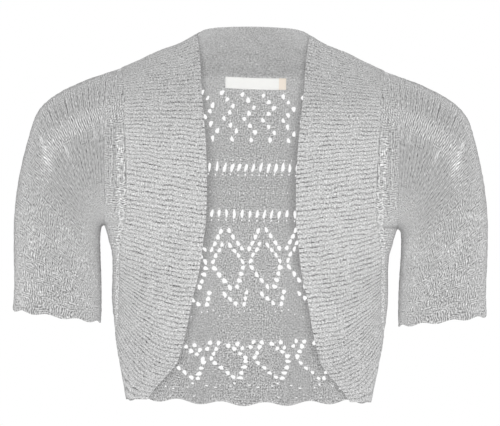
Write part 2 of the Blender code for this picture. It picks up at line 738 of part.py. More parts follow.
def add_label(finish, collection):
    """The bare label, laid inside the back from the back's own surface, moved in."""
    centre_x, centre_z = LABEL_CENTRE
    x = centre_x + LABEL_WIDTH * (np.arange(LABEL_COLUMNS + 1) / LABEL_COLUMNS - 0.5)
    z = np.array([centre_z + LABEL_HEIGHT / 2, centre_z - LABEL_HEIGHT / 2])
    grid = np.array([[on_body(a, h, 1) for a in x] for h in z])
    across = np.gradient(grid, axis=1)
    down = np.repeat((grid[1] - grid[0])[None], 2, axis=0)
    normals = np.cross(down, across)
    normals /= np.linalg.norm(normals, axis=2)[..., None]
    normals *= np.sign(normals[0, LABEL_COLUMNS // 2, 1])
    grid = grid - normals * (LACE_WALL / 2 + LABEL_CLEARANCE + LABEL_WALL / 2)
    columns = LABEL_COLUMNS + 1
    faces = []
    for c in range(LABEL_COLUMNS):
        faces += [(c, c + 1, c + 1 + columns), (c, c + 1 + columns, c + columns)]
    points = grid.reshape(-1, 3)
    faces = facing(points, np.array(faces), 1)
    free = np.zeros(len(points), bool)
    return add_wall("label", (faces, points, free), normals.reshape(-1, 3), LABEL_WALL, finish, collection)


def mirrored_patch(patch):
    faces, points, on_seam = patch
    return faces[:, ::-1], mirrored(points), on_seam


def main():
    for old in list(bpy.data.objects):
        bpy.data.objects.remove(old)
    collection = bpy.data.collections.new("knitted_shrug")
    bpy.context.scene.collection.children.link(collection)
    knit = material("grey_lace_knit", (0.52, 0.52, 0.52), 0.9)
    rib = material("grey_rib_knit", (0.58, 0.58, 0.58), 0.9)
    woven = material("cream_woven_label", (0.86, 0.84, 0.78), 0.7)
    front, sleeve = front_patch(), sleeve_patch()
    patches = {
        "back": back_patch(),
        "front_left": front,
        "front_right": mirrored_patch(front),
        "sleeve_left": sleeve,
        "sleeve_right": mirrored_patch(sleeve),
        "band": band_patch(),
    }
    normals = dict(zip(patches, shared_normals(list(patches.values()))))
    for name, patch in patches.items():
        if name == "band":
            add_band(patch, normals[name], rib, collection)
        else:
            add_wall(name, patch, normals[name], LACE_WALL, knit, collection)
    add_label(woven, collection)


main()
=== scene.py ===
"""The shrug as the camera sees it: the solids' own surfaces again in fine steps, with every eyelet,
rib and stitch row, in a plain white studio."""

import math

import bpy
import numpy as np
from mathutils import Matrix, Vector
from mathutils.geometry import delaunay_2d_cdt


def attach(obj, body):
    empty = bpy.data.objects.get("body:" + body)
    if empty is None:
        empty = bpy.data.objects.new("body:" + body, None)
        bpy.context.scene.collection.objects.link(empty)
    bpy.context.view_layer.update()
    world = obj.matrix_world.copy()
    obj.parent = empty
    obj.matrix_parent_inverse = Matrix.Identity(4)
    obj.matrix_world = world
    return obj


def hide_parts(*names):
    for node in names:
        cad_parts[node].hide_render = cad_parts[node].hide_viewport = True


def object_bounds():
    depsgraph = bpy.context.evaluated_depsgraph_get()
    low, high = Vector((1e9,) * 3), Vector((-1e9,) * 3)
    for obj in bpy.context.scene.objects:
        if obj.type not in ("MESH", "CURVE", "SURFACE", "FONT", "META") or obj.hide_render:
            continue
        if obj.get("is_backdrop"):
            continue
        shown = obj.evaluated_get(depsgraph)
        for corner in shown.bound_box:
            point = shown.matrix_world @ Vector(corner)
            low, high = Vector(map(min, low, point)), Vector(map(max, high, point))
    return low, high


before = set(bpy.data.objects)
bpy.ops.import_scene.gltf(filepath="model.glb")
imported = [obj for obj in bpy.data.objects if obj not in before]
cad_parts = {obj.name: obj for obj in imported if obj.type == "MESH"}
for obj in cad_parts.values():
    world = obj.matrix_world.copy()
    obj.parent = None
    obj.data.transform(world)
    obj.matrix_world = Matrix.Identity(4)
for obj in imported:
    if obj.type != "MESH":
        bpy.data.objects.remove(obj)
cad_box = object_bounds()

MM = 0.001

# Walls and ribs
LACE_WALL = 2.0
BAND_WALL = 2.4
LABEL_WALL = 1.0
RIB_HEIGHT = 1.1

# Samples along curves before they are cut to even steps
CURVE_SAMPLES = 900
SECTION_SAMPLES = 160

# Body form: how fast it rounds to the sides, and the place of the neck and the band's seam
ROUNDNESS = 2.3
BODY_MIDDLE = (0.0, 0.0, -150.0)
NECK_HALF_WIDTH = 61.6
NECK_DEPTH = 58.0
NECK_SIDE_HEIGHT = 4.5
NECK_BACK_HEIGHT = 17.0
NECK_RISE_POWER = 0.8
BAND_BULGE = 3.0
BAND_BULGE_RISE = 0.4
SHOULDER_SEAM_X = 144.0
BACK_SEAM_HEIGHT = -37.5
BACK_SEAM_RISE_FROM = 112.0
SEAM_SIDE_SHARE = 0.998

# Rib lines of the fronts: below the fan's start they drop ever later on their way to the seam, and
# near the shoulder they follow the shoulder line instead of running straight
RIB_FAN = 1.2
RIB_FAN_FROM = -160.0
RIB_FAN_OVER = 160.0
SHOULDER_BLEND = 70.0
SHOULDER_BLEND_POWER = 6

# Hem and cuffs, with their scallops
HEM_SIDE = -397.0
HEM_BACK_DIP = 8.0
SCALLOP_PITCH = 50.0
SCALLOP_HEIGHT = 2.3
SCALLOP_PHASE = -6.0
SCALLOP_FADE = 20.0
CUFF_SCALLOPS = 9
CUFF_SCALLOP_HEIGHT = 1.4

# Label: a bare woven strip inside the back, just under the band
LABEL_WIDTH = 68.0
LABEL_HEIGHT = 12.5
LABEL_CENTRE = (3.4, -45.5)
LABEL_CLEARANCE = 0.6


def table(columns, *rows):
    """Rows under named columns, as one array for each name."""
    return {name: np.array(values, float) for name, values in zip(columns.split(), zip(*rows))}


BODY = table(
    "z half front back",
    (-420, 130.0, 73, 94),
    (-400, 133.0, 76, 92),
    (-360, 140.5, 83, 88),
    (-320, 147.0, 91, 86),
    (-280, 151.0, 99, 87),
    (-250, 150.6, 102, 88),
    (-236, 151.6, 104, 90),
    (-222, 155.4, 104, 92),
    (-212, 158.0, 103, 93),
    (-207, 159.8, 103, 93),
    (-205, 161.0, 103, 93),
    (-200, 165.0, 102, 94),
    (-170, 177.0, 99, 96),
    (-125, 191.0, 92, 97),
    (-80, 206.0, 82, 92),
    (-40, 216.0, 70, 84),
    (20, 230.0, 50, 62),
)
SHOULDER = table(
    "x z reach",
    (0, 16.0, 130), (30, 15.0, 130), (50, 10.5, 130), (61.6, 4.5, 125),
    (80, -6.0, 115), (104, -15.2, 100), (122, -24.0, 90), (144, -33.5, 82),
    (157, -38.0, 79), (200, -52.5, 75),
)
ARMHOLE = table(
    "z x",
    (-205, 161.0), (-195, 159.8), (-160, 159.5), (-125, 160.0),
    (-75, 160.5), (-38, 157.0),
)
BAND_EDGE = table(
    "z x",
    (-394.6, 110.3), (-383.0, 102.5), (-373.8, 94.5), (-363.0, 85.0),
    (-352.2, 77.5), (-341.5, 74.3), (-325.4, 70.0), (-304.0, 65.6),
    (-282.9, 61.8), (-256.3, 55.6), (-240.3, 53.2), (-219.0, 50.8),
    (-197.7, 48.4), (-165.8, 47.9), (-122.6, 49.4), (-90.8, 52.0),
    (-59.0, 55.3), (-26.6, 57.5), (4.5, 61.6),
)
BAND_SEAM = table(
    "z x",
    (-396.0, 150.0), (-330.0, 148.5), (-320.0, 145.0), (-303.5, 142.0),
    (-273.0, 141.5), (-235.8, 141.4), (-223.8, 139.2), (-209.8, 137.0),
    (-194.6, 134.5), (-179.5, 134.0), (-122.0, 136.0), (-67.0, 138.5),
    (-50.8, 140.5), (-33.5, 144.0),
)
RIB_ENDS = table(
    "edge_z seam_z",
    (-394.6, -396.0), (-377.6, -334.1), (-366.6, -317.7), (-353.5, -304.6),
    (-328.7, -288.3), (-302.5, -270.9), (-280.9, -257.8), (-259.4, -239.4),
    (-240.0, -220.9), (-216.4, -201.4), (-192.7, -181.8), (-172.2, -159.0),
    (-150.7, -137.3), (-126.9, -118.8), (-103.1, -99.3), (-78.2, -78.6),
    (-55.2, -61.0), (-30.7, -46.5), (-6.6, -37.5), (4.5, -33.5),
)
SLEEVE = table(
    "outer_x outer_z inner_x inner_z deep",
    (180, -46, 163.0, -205.8, 57),
    (204, -57, 164.8, -207.8, 57),
    (224, -70, 165.8, -211.0, 57),
    (236.5, -85, 166.2, -216.0, 56),
    (243, -104, 166.4, -223.0, 55),
    (249, -127, 166.2, -232.0, 55),
    (254.5, -153, 165.6, -243.0, 54),
    (258.2, -180, 165.0, -255.0, 53),
    (259.8, -208, 164.4, -268.0, 52),
    (259.6, -238, 164.0, -282.0, 51),
    (258.6, -270, 164.0, -297.0, 50),
    (259.5, -300, 164.4, -312.0, 49),
)
# Soft troughs, each along a line of the front view, on the back (side 1) or front (side -1)
FOLDS = table(
    "side x0 z0 x1 z1 deep wide",
    (1, 64, -95, 92, -205, 3.2, 22),
    (1, 22, -255, 40, -395, 2.6, 20),
    (1, 96, -270, 112, -385, 3.0, 19),
    (1, 150, -215, 96, -250, 2.6, 17),
    (-1, 158, -212, 112, -240, 2.2, 16),
    (-1, 172, -200, 222, -145, 2.6, 18),
    (-1, 176, -246, 236, -226, 2.2, 15),
    (1, 172, -205, 226, -160, 3.0, 19),
    (1, 178, -256, 240, -242, 2.6, 16),
)
# Pitch and phase of the lace's diamonds and of the rows at the hem
DIAMONDS = (42.0, -29.8)
HEM_ROWS = (48.0, 0.0)

# Eyelets of the lace back. Each row is one straight chain of `count` gaps, repeated across the panel
# every `pitch` from `phase`, and rising to the wearer's left by `slope`. They lean by degrees.
LACE = table(
    "pitch phase x0 z0 x1 z1 count wide tall lean slope",
    (22.8, -11.2, 0.0, -58.1, 12.4, -72.1, 3, 4.6, 6.4, 14, -0.04),
    (21.9, -3.7, 0.0, -78.5, -5.8, -85.5, 2, 4.5, 6.0, -18, -0.04),
    (21.6, -3.0, 0.0, -92.6, 6.6, -99.8, 2, 4.6, 6.4, 10, -0.03),
    (21.3, -1.4, 0.0, -108.1, 0.0, -108.1, 1, 4.6, 6.4, -16, -0.03),
    (8.2, 2.3, 0.0, -139.4, 0.0, -139.4, 1, 3.7, 11.0, 12, 0.0),
    (8.44, -1.8, 0.0, -191.5, 0.0, -191.5, 1, 3.6, 10.0, 7, 0.0),
    (*DIAMONDS, -4.4, -210.3, -13.4, -230.8, 4, 4.5, 6.4, 22, 0.03),
    (*DIAMONDS, 5.5, -210.2, 20.0, -230.6, 4, 4.4, 6.4, -25, 0.03),
    (*DIAMONDS, -2.1, -225.0, -12.4, -243.8, 4, 4.3, 6.2, 22, 0.03),
    (*DIAMONDS, -10.9, -252.0, 6.9, -273.8, 4, 4.6, 6.6, -30, 0.03),
    (*DIAMONDS, 6.8, -226.2, 21.0, -244.2, 4, 4.4, 6.4, -22, 0.03),
    (*DIAMONDS, 21.4, -252.0, 14.9, -273.0, 4, 6.0, 5.4, 20, 0.03),
    (*DIAMONDS, 1.6, -281.2, 14.3, -291.4, 3, 4.5, 6.4, -32, 0.03),
    (*DIAMONDS, 26.4, -279.0, 23.4, -292.4, 3, 5.0, 5.8, 12, 0.03),
    (*HEM_ROWS, -23.2, -338.2, -4.5, -352.2, 4, 5.5, 4.9, 28, 0.04),
    (*HEM_ROWS, -13.2, -336.6, -8.0, -342.0, 2, 4.8, 5.2, 20, 0.04),
    (*HEM_ROWS, 4.2, -334.8, 1.1, -341.0, 2, 4.8, 5.2, 20, 0.04),
    (*HEM_ROWS, 13.6, -335.9, 5.9, -352.7, 4, 5.0, 5.4, 25, 0.04),
    (*HEM_ROWS, -3.8, -357.5, -10.1, -375.9, 4, 6.6, 4.5, 4, 0.02),
    (*HEM_ROWS, 9.8, -358.6, 30.6, -374.9, 4, 6.4, 4.1, 28, 0.01),
)
LACE_REPEATS = 30
LACE_MARGIN = 6.0
LARGE_EYELET = 4.5
EYELET_WANDER = 0.5

# A panel's inner points: least distance from an eyelet, how near an eyelet has to be to be looked at,
# and least distance from the outline as a share of a step
HOLE_CLEARANCE = 1.3
HOLE_NEAR = 12.0
OUTLINE_CLEARANCE = 0.4
MERGE_DISTANCE = 1e-5


def smooth(at, xs, ys):
    """A monotone cubic through the table's points, held flat past its ends."""
    at = np.clip(np.asarray(at, float), xs[0], xs[-1])
    steps = np.diff(xs)
    slopes = np.diff(ys) / steps
    before, after = slopes[:-1], slopes[1:]
    same_way = before * after > 0
    harmonic = 2 * before * after / np.where(same_way, before + after, 1)
    tangents = np.concatenate([[slopes[0]], np.where(same_way, harmonic, 0), [slopes[-1]]])
    i = np.clip(np.searchsorted(xs, at, side="right") - 1, 0, len(xs) - 2)
    h = steps[i]
    u = (at - xs[i]) / h
    return (
        (1 + 2 * u) * (1 - u) ** 2 * ys[i]
        + u * (1 - u) ** 2 * h * tangents[i]
        + u**2 * (3 - 2 * u) * ys[i + 1]
        + u**2 * (u - 1) * h * tangents[i + 1]
    )


def smoothstep(u):
    u = np.clip(u, 0, 1)
    return u * u * (3 - 2 * u)


def body_half(z):
    return smooth(z, BODY["z"], BODY["half"])


def shoulder_height(x):
    return smooth(np.abs(x), SHOULDER["x"], SHOULDER["z"])


def fold_depth(x, z, side):
    """How deep the soft troughs are at places of the front view."""
    deep = 0
    for on, x0, z0, x1, z1, most, wide in zip(*FOLDS.values()):
        if on == side:
            run, rise = x1 - x0, z1 - z0
            at = np.clip(((np.abs(x) - x0) * run + (z - z0) * rise) / (run**2 + rise**2), 0, 1)
            away = np.hypot(np.abs(x) - x0 - at * run, z - z0 - at * rise)
            deep = deep + most * np.exp(-((away / wide) ** 2))
    return deep


def body_depth(x, z, side):
    """How far the body form lies in front of (side -1) or behind (side 1) the mid plane."""
    deep = smooth(z, BODY["z"], BODY["front" if side < 0 else "back"])
    across = np.clip(1 - (np.abs(x) / body_half(z)) ** ROUNDNESS, 0, 1) ** (1 / ROUNDNESS)
    reach = smooth(np.abs(x), SHOULDER["x"], SHOULDER["reach"])
    drop = np.clip((shoulder_height(x) - z) / reach, 0, 1)
    return side * (deep - fold_depth(x, z, side)) * across * np.sqrt(1 - (1 - drop) ** 2)


def on_body(x, z, side):
    """Points of the body form, from their place in the front view."""
    x, z = np.broadcast_arrays(np.asarray(x, float), np.asarray(z, float))
    return np.stack([x, body_depth(x, z, side), z], axis=-1)


def distances(points):
    """How far along a polyline each of its points is."""
    steps = np.linalg.norm(np.diff(points, axis=0), axis=1)
    return np.concatenate([[0], np.cumsum(steps)])


def section(z, side):
    """Points of the body's level section at z from the middle to its side, and their arc lengths."""
    reach = section_end(z)
    x = reach * np.sin(np.linspace(0, math.pi / 2, SECTION_SAMPLES))
    return x, distances(on_body(x, z, side))


def section_end(z):
    """Where a level section ends: on the shoulder line high up, and at the side below."""
    ridge_z = SHOULDER["z"][::-1]
    on_ridge = np.interp(z, ridge_z, SHOULDER["x"][::-1])
    return float(min(body_half(z), on_ridge if z > ridge_z[0] else np.inf))


def from_arc(length, z, side):
    """The body point at a signed arc length from the middle, at height z."""
    x, lengths = section(z, side)
    at = math.copysign(np.interp(abs(length), lengths, x), length)
    return on_body(at, z, side)


def to_arc(x, z, side):
    """The signed arc length of the body point x at height z."""
    xs, lengths = section(z, side)
    return math.copysign(np.interp(abs(x), xs, lengths), x)


def arcs_of(points, side):
    return np.array([to_arc(x, z, side) for x, _, z in points])


def resample(points, count):
    """count + 1 points at equal steps along a polyline."""
    along = distances(points)
    wanted = np.linspace(0, along[-1], count + 1)
    return np.stack([np.interp(wanted, along, points[:, k]) for k in range(points.shape[1])], axis=1)


def armhole_points(side, segments):
    """One half of the armhole, from the shoulder down to the underarm."""
    share = (1 - np.cos(np.linspace(0, math.pi, segments + 1))) / 2
    top, bottom = ARMHOLE["z"][-1], ARMHOLE["z"][0]
    z = top + (bottom - top) * share
    return on_body(smooth(z, ARMHOLE["z"], ARMHOLE["x"]), z, side)


def side_line(segments):
    """The side seam, from the underarm down to the hem."""
    share = np.linspace(0, 1, segments + 1)
    z = ARMHOLE["z"][0] + (HEM_SIDE - ARMHOLE["z"][0]) * share ** 1.3
    points = on_body(body_half(z), z, 1)
    points[:, 1] = 0
    return points


def band_front_curves(stations, t):
    """The band's rib lines down one front, from the shoulder line to the hem."""
    edge_z = np.linspace(RIB_ENDS["edge_z"][-1], RIB_ENDS["edge_z"][0], CURVE_SAMPLES)
    edge = on_body(smooth(edge_z, BAND_EDGE["z"], BAND_EDGE["x"]), edge_z, -1)
    edge_z = resample(edge, stations)[:, 2]
    seam_z = smooth(edge_z, RIB_ENDS["edge_z"], RIB_ENDS["seam_z"])
    edge_x = smooth(edge_z, BAND_EDGE["z"], BAND_EDGE["x"])
    seam_x = smooth(seam_z, BAND_SEAM["z"], BAND_SEAM["x"])
    seam_x = np.minimum(seam_x, SEAM_SIDE_SHARE * body_half(seam_z))
    fan = 1 + RIB_FAN * smoothstep((RIB_FAN_FROM - edge_z) / RIB_FAN_OVER)
    x = edge_x[:, None] + (seam_x - edge_x)[:, None] * t
    straight = edge_z[:, None] + (seam_z - edge_z)[:, None] * t ** fan[:, None]
    edge_drop = (shoulder_height(edge_x) - edge_z)[:, None]
    seam_drop = (shoulder_height(seam_x) - seam_z)[:, None]
    with_shoulder = shoulder_height(x) - edge_drop - (seam_drop - edge_drop) * t
    z = straight + (with_shoulder - straight) * smoothstep(1 + edge_z / SHOULDER_BLEND)[:, None]
    return on_body(x, z, -1)


def band_back_curves(stations, t):
    """The band's rib lines round one half of the back neck, from the shoulder line to the middle."""
    turn = np.linspace(0, math.pi / 2, stations + 1)
    edge = np.stack(
        [
            NECK_HALF_WIDTH * np.cos(turn),
            NECK_DEPTH * np.sin(turn),
            NECK_SIDE_HEIGHT + (NECK_BACK_HEIGHT - NECK_SIDE_HEIGHT) * np.sin(turn) ** NECK_RISE_POWER,
        ],
        axis=1,
    )
    x = SHOULDER_SEAM_X * np.cos(np.linspace(0, math.pi / 2, CURVE_SAMPLES))
    rise = smoothstep((x - BACK_SEAM_RISE_FROM) / (SHOULDER_SEAM_X - BACK_SEAM_RISE_FROM))
    z = BACK_SEAM_HEIGHT + (shoulder_height(SHOULDER_SEAM_X) - BACK_SEAM_HEIGHT) * rise
    seam = resample(on_body(x, z, 1), stations)
    rows = edge[:, None, :] + (seam - edge)[:, None, :] * t[None, :, None]
    at_shoulder = np.cos(turn)[:, None] ** SHOULDER_BLEND_POWER
    rows[..., 2] += (shoulder_height(rows[..., 0]) - rows[..., 2]) * at_shoulder
    out = np.stack([np.zeros_like(turn), np.sin(turn), BAND_BULGE_RISE * np.sin(turn)], axis=1)
    return rows + BAND_BULGE * out[:, None, :] * (4 * t * (1 - t))[None, :, None]


def mirrored(points):
    return points * np.array([-1.0, 1.0, 1.0])


def band_grid(front_steps, back_steps, t):
    """Stations of the whole band, from the hem of the wearer's right front round to the left front's."""
    front, back = band_front_curves(front_steps, t), band_back_curves(back_steps, t)
    left = np.concatenate([back[::-1], front[1:]])
    return np.concatenate([mirrored(left[:0:-1]), left])


def hem_line(scallop_points):
    """The scalloped hem of the back, from the wearer's right side seam to the left one."""
    _, lengths = section(HEM_SIDE, 1)
    half = lengths[-1]
    count = round(2 * half / SCALLOP_PITCH * scallop_points)
    along = np.linspace(-half, half, count + 1)
    fade = np.clip((half - np.abs(along)) / SCALLOP_FADE, 0, 1)
    dip = HEM_BACK_DIP * smoothstep((half - np.abs(along)) / half)
    wave = SCALLOP_HEIGHT * np.cos(2 * math.pi * (along - SCALLOP_PHASE) / SCALLOP_PITCH)
    return along, HEM_SIDE - dip - wave * fade


def inside(polygon, points):
    """Which points lie inside a closed polygon, by crossings."""
    x, y = points[:, 0], points[:, 1]
    result = np.zeros(len(points), bool)
    for (x0, y0), (x1, y1) in zip(polygon, np.roll(polygon, -1, axis=0)):
        crosses = (y0 > y) != (y1 > y)
        with np.errstate(divide="ignore", invalid="ignore"):
            result ^= crosses & (x < (x1 - x0) * (y - y0) / (y1 - y0) + x0)
    return result


def edge_distance(polygon, points):
    """The distance from each point to the polygon's nearest edge."""
    best = np.full(len(points), np.inf)
    for a, b in zip(polygon, np.roll(polygon, -1, axis=0)):
        along = np.clip(((points - a) @ (b - a)) / ((b - a) @ (b - a)), 0, 1)
        best = np.minimum(best, np.linalg.norm(points - a - along[:, None] * (b - a), axis=1))
    return best


def panel(outline_points, holes, step, side):
    """A mid surface inside these points of the body, with flat holes of (arc, z) points left out.

    Neighbouring pieces share the outline's points. Beside faces and points it gives each point's
    number in the outline, past its end for inner points, and its flat place."""
    outline = np.stack([arcs_of(outline_points, side), outline_points[:, 2]], axis=1)
    low, high = outline.min(axis=0), outline.max(axis=0)
    counts = np.maximum(np.round((high - low) / step), 1).astype(int)
    ticks = [np.linspace(a, b, n + 1) for a, b, n in zip(low, high, counts)]
    grid = np.stack(np.meshgrid(*ticks), -1).reshape(-1, 2)
    grid = grid[inside(outline, grid) & (edge_distance(outline, grid) > step * OUTLINE_CLEARANCE)]
    for hole in holes:
        centre = hole.mean(axis=0)
        near = np.linalg.norm(grid - centre, axis=1) < HOLE_NEAR
        keep = np.ones(len(grid), bool)
        keep[near] = ~inside(hole, grid[near]) & (edge_distance(hole, grid[near]) > HOLE_CLEARANCE)
        grid = grid[keep]
    flat = np.concatenate([outline, *holes, grid])
    edges, start = [], 0
    for loop in [outline, *holes]:
        edges += [(start + i, start + (i + 1) % len(loop)) for i in range(len(loop))]
        start += len(loop)
    made = delaunay_2d_cdt([Vector(p) for p in flat], edges, [], 0, MERGE_DISTANCE)
    points, faces = made[0], np.array(made[2])
    back_to = {made_at: given[0] for made_at, given in enumerate(made[3]) if given}
    flat = np.array(points)
    centres = flat[faces].mean(axis=1)
    keep = inside(outline, centres)
    for hole in holes:
        keep &= ~inside(hole, centres)
    faces = faces[keep]
    given = np.array([back_to.get(at, len(outline)) for at in range(len(flat))])
    space = np.empty((len(flat), 3))
    for at, (arc, z) in enumerate(flat):
        on_outline = given[at] < len(outline)
        space[at] = outline_points[given[at]] if on_outline else from_arc(arc, z, side)
    return facing(space, faces), space, given, flat


def facing(points, faces):
    """The faces turned to look away from the body's middle."""
    a, b, c = (points[faces[:, k]] for k in range(3))
    normal = np.cross(b - a, c - a)
    outwards = (normal * ((a + b + c) / 3 - np.array(BODY_MIDDLE))).sum() > 0
    return faces if outwards else faces[:, ::-1]


def keys_of(points):
    return [tuple(p) for p in np.round(points, 3)]


def boundary_edges(faces):
    """Edges that only one face has, in that face's own direction."""
    ends = {(f[i], f[(i + 1) % 3]) for f in map(tuple, faces) for i in range(3)}
    return [(a, b) for a, b in ends if (b, a) not in ends]


def drawn_in(faces, points, normals, on_seam, gap):
    """The points with those on a seam drawn back into their own piece by half the seam's gap."""
    inwards = np.zeros_like(points)
    for a, b in boundary_edges(faces):
        along = points[b] - points[a]
        across = np.cross(normals[a] + normals[b], along)
        across /= max(np.linalg.norm(across), 1e-9)
        inwards[a] += across
        inwards[b] += across
    length = np.linalg.norm(inwards, axis=1)
    moved = on_seam & (length > 1e-6)
    result = points.copy()
    result[moved] += inwards[moved] / length[moved, None] * gap / 2
    return result


def turned_face(face, turned):
    return tuple(face[::-1]) if turned else tuple(face)


# Rows of small gaps that only the scene has, in the same columns as the eyelets
DOTS = table(
    "pitch phase x0 z0 x1 z1 count wide tall lean slope",
    (8.2, 3.4, 0.0, -131.0, 0.0, -131.0, 1, 1.2, 1.8, 0, 0.0),
    (8.2, 0.8, 0.0, -147.6, 0.0, -147.6, 1, 1.9, 2.1, 0, 0.0),
    (16.4, 2.6, 0.0, -167.6, 5.2, -168.1, 2, 1.1, 1.5, 0, 0.0),
    (8.44, -2.2, 0.0, -199.0, 0.0, -199.0, 1, 1.6, 2.5, 5, 0.0),
    (*DIAMONDS, 17.2, -301.5, 31.0, -299.0, 3, 1.7, 1.7, 30, 0.02),
    (*DIAMONDS, -4.0, -304.5, 6.0, -306.5, 2, 1.5, 1.3, 0, 0.02),
    (*HEM_ROWS, -15.8, -382.0, -15.8, -382.0, 1, 3.9, 2.4, 20, 0.01),
    (*HEM_ROWS, 0.3, -384.0, 10.2, -386.6, 2, 4.4, 1.7, 8, 0.01),
    (*HEM_ROWS, 27.0, -385.2, 27.0, -385.2, 1, 3.4, 1.3, -10, 0.01),
    (*HEM_ROWS, -13.5, -396.2, 6.5, -396.8, 2, 3.0, 1.5, -8, 0.0),
)

# Closed eyelets below the mesh of each sleeve's front, which lean over by this much of their height
EYELET_SLANT = 0.45
SLEEVE_EYELETS = table(
    "x z wide tall",
    (170.6, -107.0, 2.2, 4.6),
    (201.0, -126.0, 2.6, 5.6),
    (229.0, -113.0, 2.2, 4.0),
    (226.5, -121.5, 3.0, 5.0),
    (223.0, -136.0, 2.8, 5.6),
    (162.0, -103.0, 1.8, 4.0),
)

# Finer steps of the same surfaces, in millimetres where not a count
FRONT_RIBS = 92
BACK_RIBS = 20
FINE_ROWS_PER_RIB = 6
FINE_BAND_COLUMNS = 42
FINE_ARMHOLE = 60
FINE_SIDE = 60
FINE_BACK_GRID = 4.4
FINE_STRIP_GRID = 1.35
FINE_SLEEVE_RINGS = 150
FINE_SCALLOP_POINTS = 24
FINE_WALL = 1.4
FINE_SEAM_GAP = 0.3
LABEL_FINE_WALL = 0.7
LABEL_COLUMNS = 30
LABEL_ROWS = 6
EYELET_CORNERS = 10
DOT_CORNERS = 6

# Stitch sizes, in millimetres
RIB_PITCH = 4.9
WALE_PITCH = 7.6
MESH_PITCH = 5.6
DASH_PITCH = 3.2
HATCH_PITCH = 2.8
ROW_PITCH = 6.4
LOOP_PITCH = 13.0
LOOP_HALF_WIDTH = 4.2
LOOP_FROM_SEAM = 7.0
CHAIN_HALF_WIDTH = 5.2
UV_SCALE = 0.01

# The sleeve's mesh, as shares of its height from the middle
MESH_CENTRE = 0.45
MESH_HALF_WIDTH = 0.15

# The ribs' relief, and the rolled free edge of the band
RIB_RELIEF_SHARE = 0.9
RIB_POWER = 4
RIB_STRENGTH = 0.85
RIB_STRENGTH_LIMITS = (0.15, 1.3)
ROLL_WIDTH = 2.2
ROLL_EDGE_SHARE = 0.35

# Raised rims of the eyelets, also painted lighter, and the places of the sleeve's closed ones, painted
# lighter too
RIM_AT = 3.0
RIM_WIDTH = 2.2
RIM_HEIGHT = 0.4
MARK_ROWS = (-300.0, -185.0)
MARK_REPEATS = 6
MARK_SHIFT = 21.0
MARK_WIDE = 2.0
MARK_TALL = 2.3

# Unevenness of each kind: size, quickness in its two directions, and seed
UNEVEN = {
    "rib_line": (0.22, 0.42, 0.10, 3),
    "rib_line_fine": (0.11, 1.1, 0.42, 8),
    "rib_strength": (0.34, 0.7, 0.14, 5),
    "rib_breaks": (0.45, 1.9, 0.55, 14),
    "rib_lumps": (0.10, 2.3, 0.9, 11),
    "back": (0.30, 0.045, 0.06, 2),
    "wale_line": (0.22, 0.06, 0.09, 0),
    "wale_strength": (0.5, 0.3, 0.12, 3),
    "ripple": (0.30, 0.30, 0.26, 2),
    "patches": (0.6, 0.06, 0.05, 5),
    "loops": (2.0, 0.05, 0.0, 4),
}
WAVES = 9
WAVE_TURN = 2.4
WAVE_QUICKER = 0.3
WAVE_SHIFT = 1.9
WAVE_SUM = 4.5

# Where each look sets in and the length over which it grows, in millimetres unless the name says
# share (of the sleeve's height) or ring. A name with "down" or "end" counts the other way.
SETS_IN = {
    "rib_line_across": (0, 9),
    "rib_breaks_across": (18, 30),
    "seam_side_across": (0, 4),
    "band_top_up": (-120, 80),
    "band_end_down": (300, 60),
    "band_slope_down": (120, 80),
    "band_low_down": (200, 80),
    "back_relief_across": (1, 9),
    "back_calm_across": (30, 14),
    "back_calm_end": (-78, 14),
    "back_calm_up": (-56, 10),
    "back_shade_down": (240, 170),
    "chain_down": (88, 26),
    "wales_share": (-0.75, 0.5),
    "wales_share_end": (-1.02, 0.25),
    "marks_ring": (3.5, 4),
    "plain_ring_end": (-7.4, 2.5),
    "sleeve_back": (0, 10),
}


def sets_in(look, at):
    """How far a look has set in at these places, from 0 to 1."""
    start, over = SETS_IN[look]
    return smoothstep((at - start) / over)


def uneven(kind, a, b=0.0, seed=0):
    """Smooth repeatable wobble of one kind, from waves that cross at many angles."""
    size, by_a, by_b, own_seed = UNEVEN[kind]
    a, b, seed = a * by_a, b * by_b, own_seed + seed
    total = 0
    for k in range(WAVES):
        turn = WAVE_TURN * k + seed
        wave = a * math.cos(turn) + b * math.sin(turn)
        total = total + np.sin((1 + WAVE_QUICKER * k) * wave + WAVE_SHIFT * k * k + seed)
    return size * (total / WAVE_SUM)


def normal_sums(points, faces):
    a, b, c = (points[faces[:, k]] for k in range(3))
    normal = np.cross(b - a, c - a)
    total = np.zeros_like(points)
    for k in range(3):
        np.add.at(total, faces[:, k], normal)
    return total


def unit(vectors):
    return vectors / np.maximum(np.linalg.norm(vectors, axis=-1), 1e-9)[..., None]


def joined_normals(cloths):
    """Each cloth's vertex normals, made one where several cloths have a vertex at the same place."""
    sums = [normal_sums(cloth["points"], cloth["faces"]) for cloth in cloths]
    keys = [keys_of(cloth["points"]) for cloth in cloths]
    total = {}
    for names, values in zip(keys, sums):
        for name, value in zip(names, values):
            total[name] = total.get(name, 0) + value
    for cloth, names in zip(cloths, keys):
        cloth["normals"] = unit(np.array([total[name] for name in names]))


def add_object(name, data):
    made = bpy.data.objects.new(name, data)
    bpy.context.scene.collection.objects.link(made)
    return made


